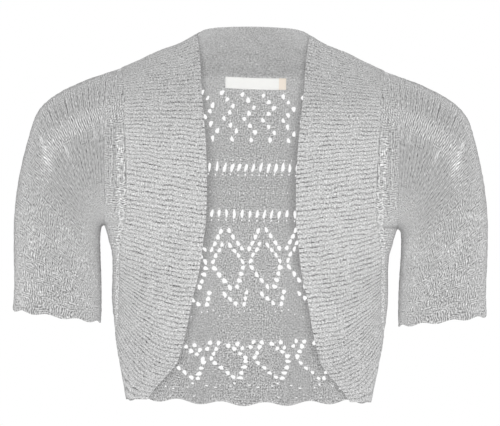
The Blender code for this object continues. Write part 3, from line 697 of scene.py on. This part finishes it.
def make_piece(name, points, faces, uv, layers, finish):
    """A mesh object in metres, with a UV map in millimetres of cloth and layers of one number a vertex."""
    mesh = bpy.data.meshes.new(name)
    mesh.vertices.add(len(points))
    mesh.vertices.foreach_set("co", (points * MM).ravel())
    mesh.loops.add(faces.size)
    mesh.loops.foreach_set("vertex_index", faces.ravel())
    mesh.polygons.add(len(faces))
    mesh.polygons.foreach_set("loop_start", np.arange(0, faces.size, faces.shape[1]))
    mesh.update(calc_edges=True)
    mesh.validate()
    stitches = mesh.uv_layers.new(name="Stitches")
    stitches.uv.foreach_set("vector", (uv[faces.ravel()] * UV_SCALE).ravel())
    for layer, values in layers.items():
        made = mesh.attributes.new(layer, "FLOAT", "POINT")
        made.data.foreach_set("value", np.asarray(values, float))
    mesh.materials.append(finish)
    mesh.shade_smooth()
    return add_object(name, mesh)


def make_cloth(faces, points, uv, relief, layers, on_seam=False):
    """An open surface, and what each of its points has, for wall_piece."""
    cloth = {"faces": faces, "points": points, "uv": uv.reshape(-1, 2), "relief": relief}
    return {**cloth, "layers": layers, "on_seam": np.broadcast_to(on_seam, len(points))}


def wall_piece(name, cloth, finish, thickness=FINE_WALL):
    """An open surface made into a thin closed wall, with the relief on its outer side."""
    faces, normals, layers = cloth["faces"], cloth["normals"], cloth["layers"]
    middle = drawn_in(faces, cloth["points"], normals, cloth["on_seam"], FINE_SEAM_GAP)
    outer = middle + normals * (thickness / 2 + cloth["relief"])[:, None]
    inner = middle - normals * (thickness / 2)
    count = len(middle)
    rims = []
    for a, b in boundary_edges(faces):
        rims += [(b, a, a + count), (b, a + count, b + count)]
    all_faces = np.concatenate([faces, faces[:, ::-1] + count, np.array(rims)])
    doubled = {key: np.concatenate([values, values]) for key, values in layers.items()}
    uv = np.concatenate([cloth["uv"], cloth["uv"]])
    return make_piece(name, np.concatenate([outer, inner]), all_faces, uv, doubled, finish)


def swapped(cloth, sign):
    """The same cloth, mirrored where it is the wearer's right one."""
    if sign > 0:
        return cloth
    return {**cloth, "faces": cloth["faces"][:, ::-1], "points": mirrored(cloth["points"])}


def grid_faces(index):
    """Two triangles for each cell of a grid of vertex numbers."""
    a, b, c, d = index[:-1, :-1], index[:-1, 1:], index[1:, 1:], index[1:, :-1]
    return np.concatenate([np.stack(corners, -1).reshape(-1, 3) for corners in ((a, b, c), (a, c, d))])


def band_columns():
    """Places across the band from 0 to 1, closer together at both edges."""
    inner = np.linspace(0.04, 0.96, FINE_BAND_COLUMNS - 5)
    return np.concatenate([[0, 0.007, 0.02], inner, [0.98, 0.993, 1]])


def band_relief(rib, along, whole, height):
    """The ribs' height, and the painted shade between them and at the band's top and lower part, both a
    little uneven.
    """
    share, from_seam = along / whole, whole - along
    wander = uneven("rib_line", rib, along) + uneven("rib_line_fine", rib, along)
    phase = (rib + wander * sets_in("rib_line_across", np.minimum(along, from_seam))) % 1.0
    profile = 1 - np.abs(2 * phase - 1) ** RIB_POWER
    strong = RIB_STRENGTH + uneven("rib_strength", rib, along)
    strong = strong + sets_in("rib_breaks_across", from_seam) * uneven("rib_breaks", rib, along)
    top, end = sets_in("band_top_up", height), sets_in("band_end_down", -height)
    strong = np.clip(strong, *RIB_STRENGTH_LIMITS) * (1 - 0.35 * top - 0.2 * end)
    seam_side = 0.3 + 0.7 * sets_in("seam_side_across", from_seam)
    relief = RIB_HEIGHT * RIB_RELIEF_SHARE * profile * strong * seam_side
    # Painted shade: darker at the top over the shoulder and towards the hem, most on the seam side
    shade = 0.24 * top + 0.12 * end + 0.10 * (share - 0.5) * sets_in("band_slope_down", -height)
    shade = shade + (0.05 + 0.12 * share) * sets_in("band_low_down", -height)
    # Painted shade in the grooves between the ribs, weaker at the seam, with the shade above added on
    groove = (1 - profile) * strong * (0.35 + 0.65 * seam_side) + shade
    return relief + uneven("rib_lumps", rib, along), groove


def band_rims(index, low, flipped):
    """Faces between the outer points and the fewer inner ones, along the band's edges and ends."""
    step, half = FINE_ROWS_PER_RIB, FINE_ROWS_PER_RIB // 2
    rims = []
    for column, turned in ((0, flipped), (-1, not flipped)):
        for s in range(len(low) - 1):
            above = index[s * step : (s + 1) * step + 1, column]
            for k in range(step):
                corner = low[s if k < half else s + 1, column]
                rims.append(turned_face((above[k], above[k + 1], corner), turned))
            rims.append(turned_face((above[half], low[s + 1, column], low[s, column]), turned))
    for above, under, turned in ((index[0], low[0], not flipped), (index[-1], low[-1], flipped)):
        for k in range(len(above) - 1):
            rims.append(turned_face((above[k], above[k + 1], under[k + 1]), turned))
            rims.append(turned_face((above[k], under[k + 1], under[k]), turned))
    return np.array(rims)


def band_piece(finish):
    """The band, with every rib rounded, its lines a little uneven and its free edge rolled."""
    step = FINE_ROWS_PER_RIB
    grid = band_grid(FRONT_RIBS * step, BACK_RIBS * step, band_columns())
    rows, columns = grid.shape[:2]
    across = np.linalg.norm(np.diff(grid, axis=1), axis=2)
    along = np.concatenate([np.zeros((rows, 1)), np.cumsum(across, axis=1)], axis=1)
    whole = along[:, -1:]
    index = np.arange(rows * columns).reshape(rows, columns)
    points = grid.reshape(-1, 3)
    faces = facing(points, grid_faces(index))
    flipped = not np.array_equal(faces[0], (index[0, 0], index[0, 1], index[1, 1]))
    normals = unit(normal_sums(points, faces))
    rib = (np.arange(rows) / step)[:, None]
    relief, groove = band_relief(rib, along, whole, grid[..., 2])
    curve = np.sqrt(np.clip(1 - (1 - np.clip(along / ROLL_WIDTH, 0, 1)) ** 2, 0, 1))
    roll = ROLL_EDGE_SHARE + (1 - ROLL_EDGE_SHARE) * curve
    outer = points + normals * ((BAND_WALL / 2 + relief) * roll).reshape(-1, 1)
    inner = points - normals * (BAND_WALL / 2 * roll).reshape(-1, 1)
    keep = np.arange(0, rows, step)
    inner = inner.reshape(rows, columns, 3)[keep].reshape(-1, 3)
    uv = np.stack([np.broadcast_to(rib * RIB_PITCH, (rows, columns)), along], -1)
    uv = np.concatenate([uv.reshape(-1, 2), uv[keep].reshape(-1, 2)])
    low = np.arange(len(keep) * columns).reshape(len(keep), columns) + rows * columns
    under = grid_faces(low)
    under = under if flipped else under[:, ::-1]
    all_faces = np.concatenate([faces, under, band_rims(index, low, flipped)])
    # The band's inner side gets an even painted shade and a calmer grain
    layers = {
        "groove": np.concatenate([groove.ravel(), np.full(low.size, 0.25)]),
        "calm": np.concatenate([np.zeros(groove.size), np.ones(low.size)]),
    }
    piece = make_piece("ribbed_band", np.concatenate([outer, inner]), all_faces, uv, layers, finish)
    seam_length = np.linalg.norm(np.diff(grid[:, -1], axis=0), axis=1).sum()
    return piece, float(np.mean(whole)) * MM, float(seam_length) * MM


def seam_stations():
    """The band's seam at every rib, from the right front's hem round to the left front's."""
    return band_grid(FRONT_RIBS, BACK_RIBS, np.array([0.0, 1.0]))[:, -1]


def row_places(pitch, x0, z0, x1, z1, count, start, repeats):
    """The places along one row of the lace, in each of its repeats."""
    for repeat in range(-repeats, repeats + 1):
        for k in range(int(count)):
            place = k / max(count - 1, 1)
            yield start + repeat * pitch + x0 + (x1 - x0) * place, z0 + (z1 - z0) * place


def all_eyelets(rows, limit_at):
    """Every gap of the lace's rows, each a little uneven in place, size and lean."""
    found = []
    for pitch, phase, *ends, count, wide, tall, lean, slope in zip(*rows.values()):
        loose = 1.0 if wide > LARGE_EYELET else 0.6
        for x, z in row_places(pitch, *ends, count, phase, LACE_REPEATS):
            z += slope * x
            if abs(x) + wide / 2 + LACE_MARGIN < limit_at(z):
                own_wide = wide * (0.96 + 0.15 * loose * math.sin(12.9 * x + 7.3 * z))
                own_tall = tall * (0.98 + 0.12 * loose * math.sin(9.1 * x - 4.7 * z))
                own_lean = math.radians(lean + 12 * loose * math.sin(5.3 * x + 3.1 * z))
                x += EYELET_WANDER * math.sin(8.3 * x + 2.9 * z)
                z += EYELET_WANDER * math.sin(6.1 * x - 8.7 * z)
                found.append((x, z, own_wide, own_tall, own_lean))
    return found


def round_outline(hole, corners):
    x, z, wide, tall, lean = hole
    turn = np.arange(corners) / corners * 2 * math.pi
    wobble = 1 + 0.13 * np.sin(3 * turn + x * 1.7 + z) + 0.08 * np.sin(2 * turn + x * 0.9 - z)
    ring = np.stack([np.cos(turn) * wide / 2 * wobble, np.sin(turn) * tall / 2 * wobble], axis=1)
    spin = np.array([[math.cos(lean), math.sin(lean)], [-math.sin(lean), math.cos(lean)]])
    return ring @ spin.T + (x, z)


def back_cloth():
    """The lace back with every gap open, and its relief of rows and stitches."""
    seam = seam_stations()[FRONT_RIBS : FRONT_RIBS + 2 * BACK_RIBS + 1]
    arm = armhole_points(1, FINE_ARMHOLE)
    line = side_line(FINE_SIDE)
    along, hem_z = hem_line(FINE_SCALLOP_POINTS)
    hem = np.array([from_arc(a, z, 1) for a, z in zip(along, hem_z)])
    hem[0], hem[-1] = mirrored(line[-1]), line[-1]
    loop = np.concatenate([seam, arm, line[1:], hem[-2:0:-1], mirrored(line[:0:-1]), mirrored(arm[::-1])])
    limits = {}

    def limit(z):
        key = round(z)
        if key not in limits:
            above = z > ARMHOLE["z"][0]
            reach = smooth(z, ARMHOLE["z"], ARMHOLE["x"]) if above else body_half(z)
            limits[key] = to_arc(float(reach), z, 1)
        return limits[key]

    big = [round_outline(hole, EYELET_CORNERS) for hole in all_eyelets(LACE, limit)]
    dots = [hole for hole in all_eyelets(DOTS, limit) if hole[1] > HEM_SIDE]
    small = [round_outline(hole, DOT_CORNERS) for hole in dots]
    faces, points, given, arcs = panel(loop, big + small, FINE_BACK_GRID, 1)
    x, z = arcs.T
    near = np.full(len(arcs), np.inf)
    for hole in big:
        centre = hole.mean(axis=0)
        near = np.minimum(near, np.hypot(x - centre[0], z - centre[1]))
    rim = np.exp(-(((near - RIM_AT) / RIM_WIDTH) ** 2))
    from_arm = np.array([limit(height) for height in z]) - np.abs(x)
    rows = 0.14 * np.cos(2 * math.pi * z / ROW_PITCH) + uneven("back", x, z)
    aside = sets_in("back_calm_across", np.abs(x)) * sets_in("back_calm_end", -np.abs(x))
    relief = (RIM_HEIGHT * rim + rows) * sets_in("back_relief_across", from_arm)
    # Painted shade: a little away from the eyelets' rims and much more towards the hem; painted highlight on
    # the rims
    layers = {
        "groove": 0.08 * (1 - rim) + 0.75 * sets_in("back_shade_down", -z),
        "open": 0.12 * rim,
        "calm": 0.9 * np.maximum(aside, sets_in("back_calm_up", z)),
    }
    return make_cloth(faces, points, arcs, relief, layers, given < len(seam))


def pointelle(s, c, v, upper, seed):
    """Relief and layers of the sleeve's knit at s from the armhole, at height share c round it."""
    mesh = np.exp(-(((c - MESH_CENTRE) / MESH_HALF_WIDTH) ** 4)) * upper
    wobble = 0.5 + uneven("wale_line", s, v, seed)
    wale = 1 - np.abs(2 * ((s / WALE_PITCH + wobble) % 1.0) - 1) ** 2.4
    wale = 1 - (1 - wale) * np.clip(0.6 + uneven("wale_strength", s, v, seed), 0, 1)
    wales = upper * (1 - mesh) * sets_in("wales_share", c) * sets_in("wales_share_end", -c)
    relief = 0.35 * wale * wales + 0.25 * mesh + uneven("ripple", s, v, seed) * (1 - 0.6 * wales)
    # Painted shade in the grooves between the wales
    return relief, {"groove": (1 - wale) * wales, "mesh": mesh, "wales": wales}


def front_cloth(seed):
    """The lace strip of the wearer's left front, with its chain of loops beside the band."""
    seam = seam_stations()[FRONT_RIBS + 2 * BACK_RIBS :]
    arm = armhole_points(-1, FINE_ARMHOLE)
    line = side_line(FINE_SIDE)
    loop = np.concatenate([seam[::-1], arm, line[1:]])
    faces, points, given, arcs = panel(loop, [], FINE_STRIP_GRID, -1)
    x, z = arcs.T
    order = np.argsort(seam[:, 2])
    from_seam = x - np.interp(z, seam[order, 2], arcs_of(seam[order], -1))
    outer = np.concatenate([arm, line[1:]])[::-1]
    s = x - np.interp(z, outer[:, 2], arcs_of(outer, -1))
    top, bottom = ARMHOLE["z"][-1], ARMHOLE["z"][0]
    c = 1 - 2 * np.clip((top - z) / (top - bottom), 0, 1)
    v = np.interp(-z, -arm[:, 2], distances(arm)) + np.maximum(bottom - z, 0)
    relief, layers = pointelle(s, c, v, np.ones_like(c), seed)
    height = z + uneven("loops", z, seed=seed)
    chain = np.exp(-(((from_seam - LOOP_FROM_SEAM) / CHAIN_HALF_WIDTH) ** 4))
    chain *= sets_in("chain_down", -height)
    loops = 0.2 - 0.2 * np.cos(2 * math.pi * height / LOOP_PITCH)
    layers = {key: values * (0.55 - 0.45 * chain) for key, values in layers.items()}
    layers |= {"chain": chain, "beside": from_seam - LOOP_FROM_SEAM, "down": height}
    layers["calm"] = np.zeros(len(points))
    relief = relief * (1 - 0.8 * chain) + chain * loops
    return make_cloth(faces, points, np.stack([s, v], -1), relief, layers, given < len(seam))


def sleeve_marks():
    """Places of the closed eyelets on a sleeve, by distance round from its outer line and height."""
    marks = []
    for pitch, _, x0, z0, x1, z1, count, *_ in zip(*LACE.values()):
        if MARK_ROWS[0] < z0 < MARK_ROWS[1]:
            marks += row_places(pitch, x0, z0, x1, z1, count, MARK_SHIFT, MARK_REPEATS)
    return marks


def sleeve_cloth(seed):
    """The left sleeve in fine rings, from the armhole down to its scalloped cuff."""
    front, back = armhole_points(-1, FINE_ARMHOLE), armhole_points(1, FINE_ARMHOLE)
    ring = np.concatenate([front, back[-2:0:-1]])
    count = len(ring)
    turn = np.arccos(1 - 2 * (front[0, 2] - ring[:, 2]) / (front[0, 2] - front[-1, 2]))
    across = np.cos(turn)
    depth = np.clip(1 - np.abs(across) ** ROUNDNESS, 0, 1) ** (1 / ROUNDNESS)
    depth *= np.where(np.arange(count) <= FINE_ARMHOLE, -1, 1)
    around = np.arange(count) / count
    scallop = 2 * math.pi * CUFF_SCALLOPS * around
    knots = np.arange(1, len(SLEEVE["deep"]) + 1)
    steps = np.linspace(0, knots[-1], FINE_SLEEVE_RINGS + 1)
    rings = []
    for k in steps:
        outer_x, outer_z, inner_x, inner_z, deep = (smooth(max(k, 1), knots, SLEEVE[name]) for name in SLEEVE)
        outer, inner = np.array([outer_x, 0, outer_z]), np.array([inner_x, 0, inner_z])
        plane = (outer + inner) / 2 + across[:, None] * (outer - inner) / 2
        in_front, behind = (fold_depth(plane[:, 0], plane[:, 2], side) for side in (-1, 1))
        plane[:, 1] = depth * (deep - np.where(depth < 0, in_front, behind))
        if k < 1:
            plane = ring * (1 - k) + plane * k
        fade = max(k - (knots[-1] - 1), 0) ** 1.5
        plane[:, 2] += fade * CUFF_SCALLOP_HEIGHT * np.cos(scallop)
        plane[:, 1] += fade * 0.9 * np.sin(scallop) * np.sign(depth)
        rings.append(plane)
    rows = np.array(rings)
    points = rows.reshape(-1, 3)
    index = np.arange(len(points)).reshape(len(rings), count)
    faces = grid_faces(np.concatenate([index, index[:, :1]], axis=1))
    p, q, r = (points[faces[:, k]] for k in range(3))
    middle = rows[:-1].mean(axis=1).repeat(count, axis=0)
    if (np.cross(q - p, r - p) * (p - np.concatenate([middle, middle]))).sum() < 0:
        faces = faces[:, ::-1]
    hoop = np.linalg.norm(rows - np.roll(rows, 1, axis=1), axis=2)
    hoop[:, 0] = 0
    distance = np.cumsum(hoop, axis=1)
    total = distance[:, -1:] + np.linalg.norm(rows[:, 0] - rows[:, -1], axis=1)[:, None]
    in_front = np.arange(count) <= FINE_ARMHOLE
    v = np.where(in_front, distance, distance - total)
    s = np.broadcast_to(distances(rows[:, 0])[:, None], v.shape)
    k = np.broadcast_to(steps[:, None], v.shape)
    c = np.broadcast_to(across[None], v.shape)
    relief, layers = pointelle(s, c, v, sets_in("plain_ring_end", -k), seed)
    marks = np.zeros(v.shape)
    z = rows[..., 2]
    for x, height in sleeve_marks():
        for side in (-1, 1):
            aside, above = (v - side * x) / MARK_WIDE, (z - height) / MARK_TALL
            marks = np.maximum(marks, np.exp(-(aside**2) - above**2))
    marks = marks * sets_in("marks_ring", k) * np.clip(0.42 + uneven("patches", s, v, seed), 0, 1)
    x = rows[..., 0]
    for at_x, at_z, wide, tall in zip(*SLEEVE_EYELETS.values()):
        aside = x - at_x - EYELET_SLANT * (z - at_z)
        spot = np.exp(-((aside / wide) ** 2) - ((z - at_z) / tall) ** 2)
        marks = np.maximum(marks, np.where(in_front, 0.9 * spot, 0))
    edge = np.where(in_front, 1.0, sets_in("sleeve_back", s))
    # Painted light: the closed eyelets are made lighter in colour, and are also pressed in by the relief
    layers |= {"open": marks, "calm": np.zeros(v.shape)}
    layers = {key: np.clip(values, 0, 1).ravel() for key, values in layers.items()}
    relief = ((relief - 0.35 * marks) * edge).ravel()
    return make_cloth(faces, points, np.stack([s, v], -1), relief, layers)


def label_piece(finish):
    """The bare label, a thin strip with a slight curl, hung a little askew."""
    columns, rows = LABEL_COLUMNS, LABEL_ROWS
    centre_x, centre_z = LABEL_CENTRE
    x = centre_x + LABEL_WIDTH * (np.arange(columns + 1) / columns - 0.5)
    z = centre_z + LABEL_HEIGHT * (0.5 - np.arange(rows + 1) / rows)
    grid = on_body(*np.meshgrid(x, z), 1)
    grid[..., 1] -= LACE_WALL / 2 + LABEL_CLEARANCE + LABEL_WALL / 2
    curl = (np.arange(rows + 1) / rows)[:, None] ** 2
    grid[..., 1] -= curl * (0.8 + 0.5 * np.cos((x - centre_x) / 9.0))
    grid[..., 2] -= 0.6 * np.cos((x - centre_x) / 22.0) + (x - centre_x) * 0.018
    points = grid.reshape(-1, 3)
    index = np.arange(len(points)).reshape(grid.shape[:2])
    faces = facing(points, grid_faces(index))
    uv = np.stack(np.meshgrid(x - centre_x, z - centre_z), -1)
    cloth = make_cloth(faces, points, uv, np.zeros(len(points)), {})
    cloth["normals"] = unit(normal_sums(points, faces))
    return wall_piece("bare_label", cloth, finish, LABEL_FINE_WALL)


# Each knit's look: base grey, size of the grain across and along in millimetres, how far the grain
# wanders, strength of grain and hatching, shares of the grain that runs along and across the cloth,
# and how much the layer of painted shade darkens and the open layer's painted light brightens
KNITS = {
    "grey_rib_knit_fine": (0.63, 1.05, 1.9, 0.3, 0.38, 0.0, 1.0, 0.7, 0.66, 0.0),
    "grey_lace_back": (0.60, 1.15, 2.2, 0.0, 0.40, 0.12, 1.0, 0.7, 0.24, 0.10),
    "grey_pointelle": (0.48, 0.85, 4.0, 1.0, 0.60, 0.38, 0.45, 1.0, 0.10, 0.46),
}

# The materials' own patches: size across and along the cloth in millimetres, and shift
BROKEN_PATCHES = (5.5, 9.0, 3.0)
HATCH_PATCHES = (11.0, 15.0, 9.0)
LARGE_PATCHES = (28.0, 34.0, 5.0)
FINE_SHIFT = 1.0
TURNED_SHIFT = 7.0

# Rings of the chain of loops, as shares of their half width
RING_RADIUS = 0.95
RING_LINE = 0.26
RING_FLATNESS = 2.6

# The label's white, the tint of its end, and where that starts as a share of its width
LABEL_WHITE = (0.98, 0.98, 0.965)
LABEL_TINT = (0.2, 0.6, 1.0)
LABEL_END = 0.38
LABEL_END_STRENGTH = 0.17


def set_inputs(node, values):
    for name, value in values.items():
        node.inputs[name].default_value = value


def connect(value, socket):
    """A value's node, or a plain number, into a socket."""
    if isinstance(value, Value):
        socket.id_data.links.new(value.socket, socket)
    else:
        socket.default_value = value


class Value:
    """A number that a material's nodes work out at each place of the cloth."""

    def __init__(self, socket):
        self.socket = socket

    def math(self, operation, *others):
        node = self.socket.id_data.nodes.new("ShaderNodeMath")
        node.operation = operation
        for socket, value in zip(node.inputs, (self, *others)):
            connect(value, socket)
        return Value(node.outputs[0])

    def __add__(self, other):
        return self.math("ADD", other)

    def __sub__(self, other):
        return self.math("SUBTRACT", other)

    def __mul__(self, other):
        return self.math("MULTIPLY", other)

    def __truediv__(self, other):
        return self.math("DIVIDE", other)

    def wave(self, pitch):
        return (self * (2 * math.pi / pitch)).math("SINE")

    def limited(self, low, high):
        return self.math("MAXIMUM", low).math("MINIMUM", high)


class Graph:
    """A material's nodes: what they read of the cloth, and where their colours go."""

    def __init__(self, name, roughness, sheen):
        self.material = bpy.data.materials.new(name)
        self.material.use_nodes = True
        self.tree = self.material.node_tree
        self.shader = self.tree.nodes["Principled BSDF"]
        set_inputs(self.shader, {"Roughness": roughness, "Sheen Weight": sheen, "Sheen Roughness": 0.5})
        set_inputs(self.shader, {"Specular IOR Level": 0.2, "Diffuse Roughness": 1.0})

    def add(self, kind):
        return self.tree.nodes.new(kind)

    def noise(self, u, v, across, along, shift):
        """Uneven light and dark between about -1 and 1, in patches of these sizes in millimetres."""
        join = self.add("ShaderNodeCombineXYZ")
        for socket, value in zip(join.inputs, (u / across, v / along, shift)):
            connect(value, socket)
        node = self.add("ShaderNodeTexNoise")
        self.tree.links.new(join.outputs[0], node.inputs["Vector"])
        set_inputs(node, {"Scale": 1.0, "Detail": 0.0})
        return Value(node.outputs["Fac"]) * 3.0 - 1.5

    def layers(self, names):
        """The values of the mesh's layers of these names."""
        for name in names.split():
            node = self.add("ShaderNodeAttribute")
            node.attribute_name = name
            yield Value(node.outputs["Fac"])

    def stitches(self):
        """The cloth's two directions, in millimetres."""
        node = self.add("ShaderNodeUVMap")
        node.uv_map = "Stitches"
        split = self.add("ShaderNodeSeparateXYZ")
        self.tree.links.new(node.outputs[0], split.inputs[0])
        return tuple(Value(split.outputs[k]) * (1 / UV_SCALE) for k in range(2))

    def finish(self, colours, height, strength, distance):
        """Colours and bump go into the shader."""
        join = self.add("ShaderNodeCombineColor")
        for socket, value in zip(join.inputs, colours):
            connect(value, socket)
        self.tree.links.new(join.outputs[0], self.shader.inputs["Base Color"])
        bump = self.add("ShaderNodeBump")
        set_inputs(bump, {"Strength": strength, "Distance": distance})
        connect(height, bump.inputs["Height"])
        self.tree.links.new(bump.outputs[0], self.shader.inputs["Normal"])
        return self.material


def knit_material(name):
    """Knit that its layers make lighter or darker with painted light and shade, with uneven stitches and the
    yarn's own grain.
    """
    base, across, along, warp, grain, hatch, fine_share, turned_share, painted_shade_part, painted_light_part = KNITS[name]
    g = Graph(name, 0.92, 0.35)
    u, v = g.stitches()
    wales, mesh, calm, groove, painted_light, chain, beside, down = g.layers(
        "wales mesh calm groove open chain beside down"
    )
    broken = g.noise(u, v, *BROKEN_PATCHES)
    along_wales = wales.math("MAXIMUM", mesh)

    # Grain of the yarn, along the wales where there are any and mixed elsewhere
    fine = g.noise(broken * warp + u, v, across, along, FINE_SHIFT)
    turned = g.noise(u, broken * warp + v, along * 0.9, across, TURNED_SHIFT)
    fine_part = along_wales * (0.75 - fine_share) + fine_share
    turned_part = along_wales * (0.2 - turned_share) + turned_share
    dashes = turned * turned_part + fine * fine_part

    # Hatching that runs one way or the other, in patches
    hatch_u, hatch_v = ((broken * 1.5 + at).wave(HATCH_PITCH) for at in (u, v))
    which = (g.noise(u, v, *HATCH_PATCHES) * 1.2 + 0.3 + along_wales).limited(0.0, 1.0)
    hatched = ((hatch_u - hatch_v) * which + hatch_v) * (along_wales * -0.35 + 1.0)
    light = hatched * hatch + dashes * grain

    # Rings of the chain, cells of the mesh, and painted shade along the lines between the wales
    from_ring = beside / LOOP_HALF_WIDTH
    above = down.math("PINGPONG", LOOP_PITCH / 2) / (LOOP_PITCH / RING_FLATNESS)
    off_line = ((from_ring * from_ring + above * above).math("SQRT") - RING_RADIUS) / RING_LINE
    ring = (off_line * off_line * -1.0).math("EXPONENT") * (broken * 0.5 + 1.0)
    light = light + (ring * 0.48 - 0.03) * chain
    lattice = (v * -0.3 + broken * 0.5 + u).wave(DASH_PITCH) * (broken * 0.8 + v).wave(MESH_PITCH)
    light = light + (lattice + 0.12) * mesh * 0.75
    # Painted shade along the lines between the wales
    lines = (broken * 0.5 + u).wave(WALE_PITCH).math("MAXIMUM", 0.0).math("POWER", 4.0)
    light = light - lines * wales * 0.30

    # Calm and large patches, painted shade, and painted light on the eyelets' rims and closed eyelets
    quiet = calm * -0.45 + 1.0
    light = light * quiet + 1.0 + g.noise(u, v, *LARGE_PATCHES) * 0.02
    # Painted shade, from the layer that holds it
    light = light - groove * (broken * 0.35 + 1.0) * painted_shade_part
    # Painted light on the eyelets' rims and on the sleeves' closed eyelets
    light = light + painted_light * (fine * 0.5 + 1.0) * painted_light_part
    light = (light * base).math("MAXIMUM", 0.04)
    return g.finish((light, light, light), dashes * quiet, 0.5, 0.0005)


def label_material():
    """White woven tape, with its cream end."""
    g = Graph("white_label_tape", 0.7, 0.1)
    u, v = g.stitches()
    weave = u.wave(0.9) * v.wave(0.7)
    end = u.math("GREATER_THAN", LABEL_WIDTH * LABEL_END) * LABEL_END_STRENGTH
    colours = [weave * 0.02 + white - end * tint for white, tint in zip(LABEL_WHITE, LABEL_TINT)]
    return g.finish(colours, weave, 0.3, 0.0002)


# Studio: metres, degrees and watts
PIXEL = 0.0011
IMAGE_WIDTH = 500
CAMERA_DISTANCE = 4.5
CAMERA_X = -0.0012
CAMERA_Z = -0.1905
CAMERA_ROLL = -0.75
FLOOR_Z = -0.75
FLOOR_GLOW = 0.22
WORLD_LIGHT = 0.36

# Each light's place, aim, size and power
LIGHTS = {
    "front": ((0, -4.2, -0.19), (0, 0, -0.19), 0.5, 108.0),
    "back": ((1.2, 2.4, 1.4), (0, 0, -0.2), 1.4, 30.0),
}


def area_light(name, place, aim, size, power):
    data = bpy.data.lights.new(name, "AREA")
    data.size = size
    data.energy = power
    lamp = add_object(name, data)
    lamp.location = place
    lamp.rotation_euler = (Vector(aim) - Vector(place)).to_track_quat("-Z", "Y").to_euler()


def studio():
    """A white world, a pale floor under the piece, soft lights and the photo's camera."""
    scene = bpy.context.scene
    scene.view_settings.view_transform = "Standard"
    world = bpy.data.worlds.new("white_studio")
    world.use_nodes = True
    background = world.node_tree.nodes["Background"]
    set_inputs(background, {"Color": (1, 1, 1, 1)})
    path = world.node_tree.nodes.new("ShaderNodeLightPath")
    strength = world.node_tree.nodes.new("ShaderNodeMapRange")
    set_inputs(strength, {"To Min": WORLD_LIGHT, "To Max": 1.0})
    world.node_tree.links.new(path.outputs["Is Camera Ray"], strength.inputs["Value"])
    world.node_tree.links.new(strength.outputs["Result"], background.inputs["Strength"])
    scene.world = world
    mesh = bpy.data.meshes.new("floor")
    mesh.from_pydata([(-4, -3, 0), (4, -3, 0), (4, 4, 0), (-4, 4, 0)], [], [(0, 1, 2, 3)])
    floor = add_object("floor", mesh)
    floor.location.z = FLOOR_Z
    paint = bpy.data.materials.new("floor_white")
    paint.use_nodes = True
    shader = paint.node_tree.nodes["Principled BSDF"]
    set_inputs(shader, {"Base Color": (0.8, 0.8, 0.8, 1), "Roughness": 0.9})
    set_inputs(shader, {"Emission Color": (1, 1, 1, 1), "Emission Strength": FLOOR_GLOW})
    mesh.materials.append(paint)
    floor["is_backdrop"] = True
    for name, light in LIGHTS.items():
        area_light(name, *light)
    data = bpy.data.cameras.new("camera")
    data.lens = data.sensor_width * CAMERA_DISTANCE / (IMAGE_WIDTH * PIXEL)
    camera = add_object("camera", data)
    camera.location = (CAMERA_X, -CAMERA_DISTANCE, CAMERA_Z)
    camera.rotation_euler = (math.radians(90), math.radians(CAMERA_ROLL), 0)
    scene.camera = camera


def main():
    rib, back_knit, side_knit = (knit_material(name) for name in KNITS)
    pieces = {}
    band, band_width, band_length = band_piece(rib)
    pieces["band"] = band
    cloths = {"back": back_cloth()}
    for side_name, sign in (("left", 1), ("right", -1)):
        cloths["front_" + side_name] = swapped(front_cloth(6 + sign), sign)
        cloths["sleeve_" + side_name] = swapped(sleeve_cloth(6 + sign), sign)
    joined_normals(list(cloths.values()))
    names = {"back": "lace_back", "front": "front_strip", "sleeve": "sleeve_cloth"}
    for node, cloth in cloths.items():
        kind, _, side_name = node.partition("_")
        finish = back_knit if node == "back" else side_knit
        pieces[node] = wall_piece(names[kind] + ("_" + side_name if side_name else ""), cloth, finish)
    pieces["label"] = label_piece(label_material())
    for node, piece in pieces.items():
        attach(piece, "root")
        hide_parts(node)
        "woven_label" if node == "label" else "rib_knit" if node == "band" else "lace_knit"
    for side_name in ("left", "right"):
        pieces["front_" + side_name]
        pieces["sleeve_" + side_name]
    studio()
    boxes = {"cad": cad_box, "visual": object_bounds()}
    {key: [[float(x) for x in corner] for corner in box] for key, box in boxes.items()}


main()
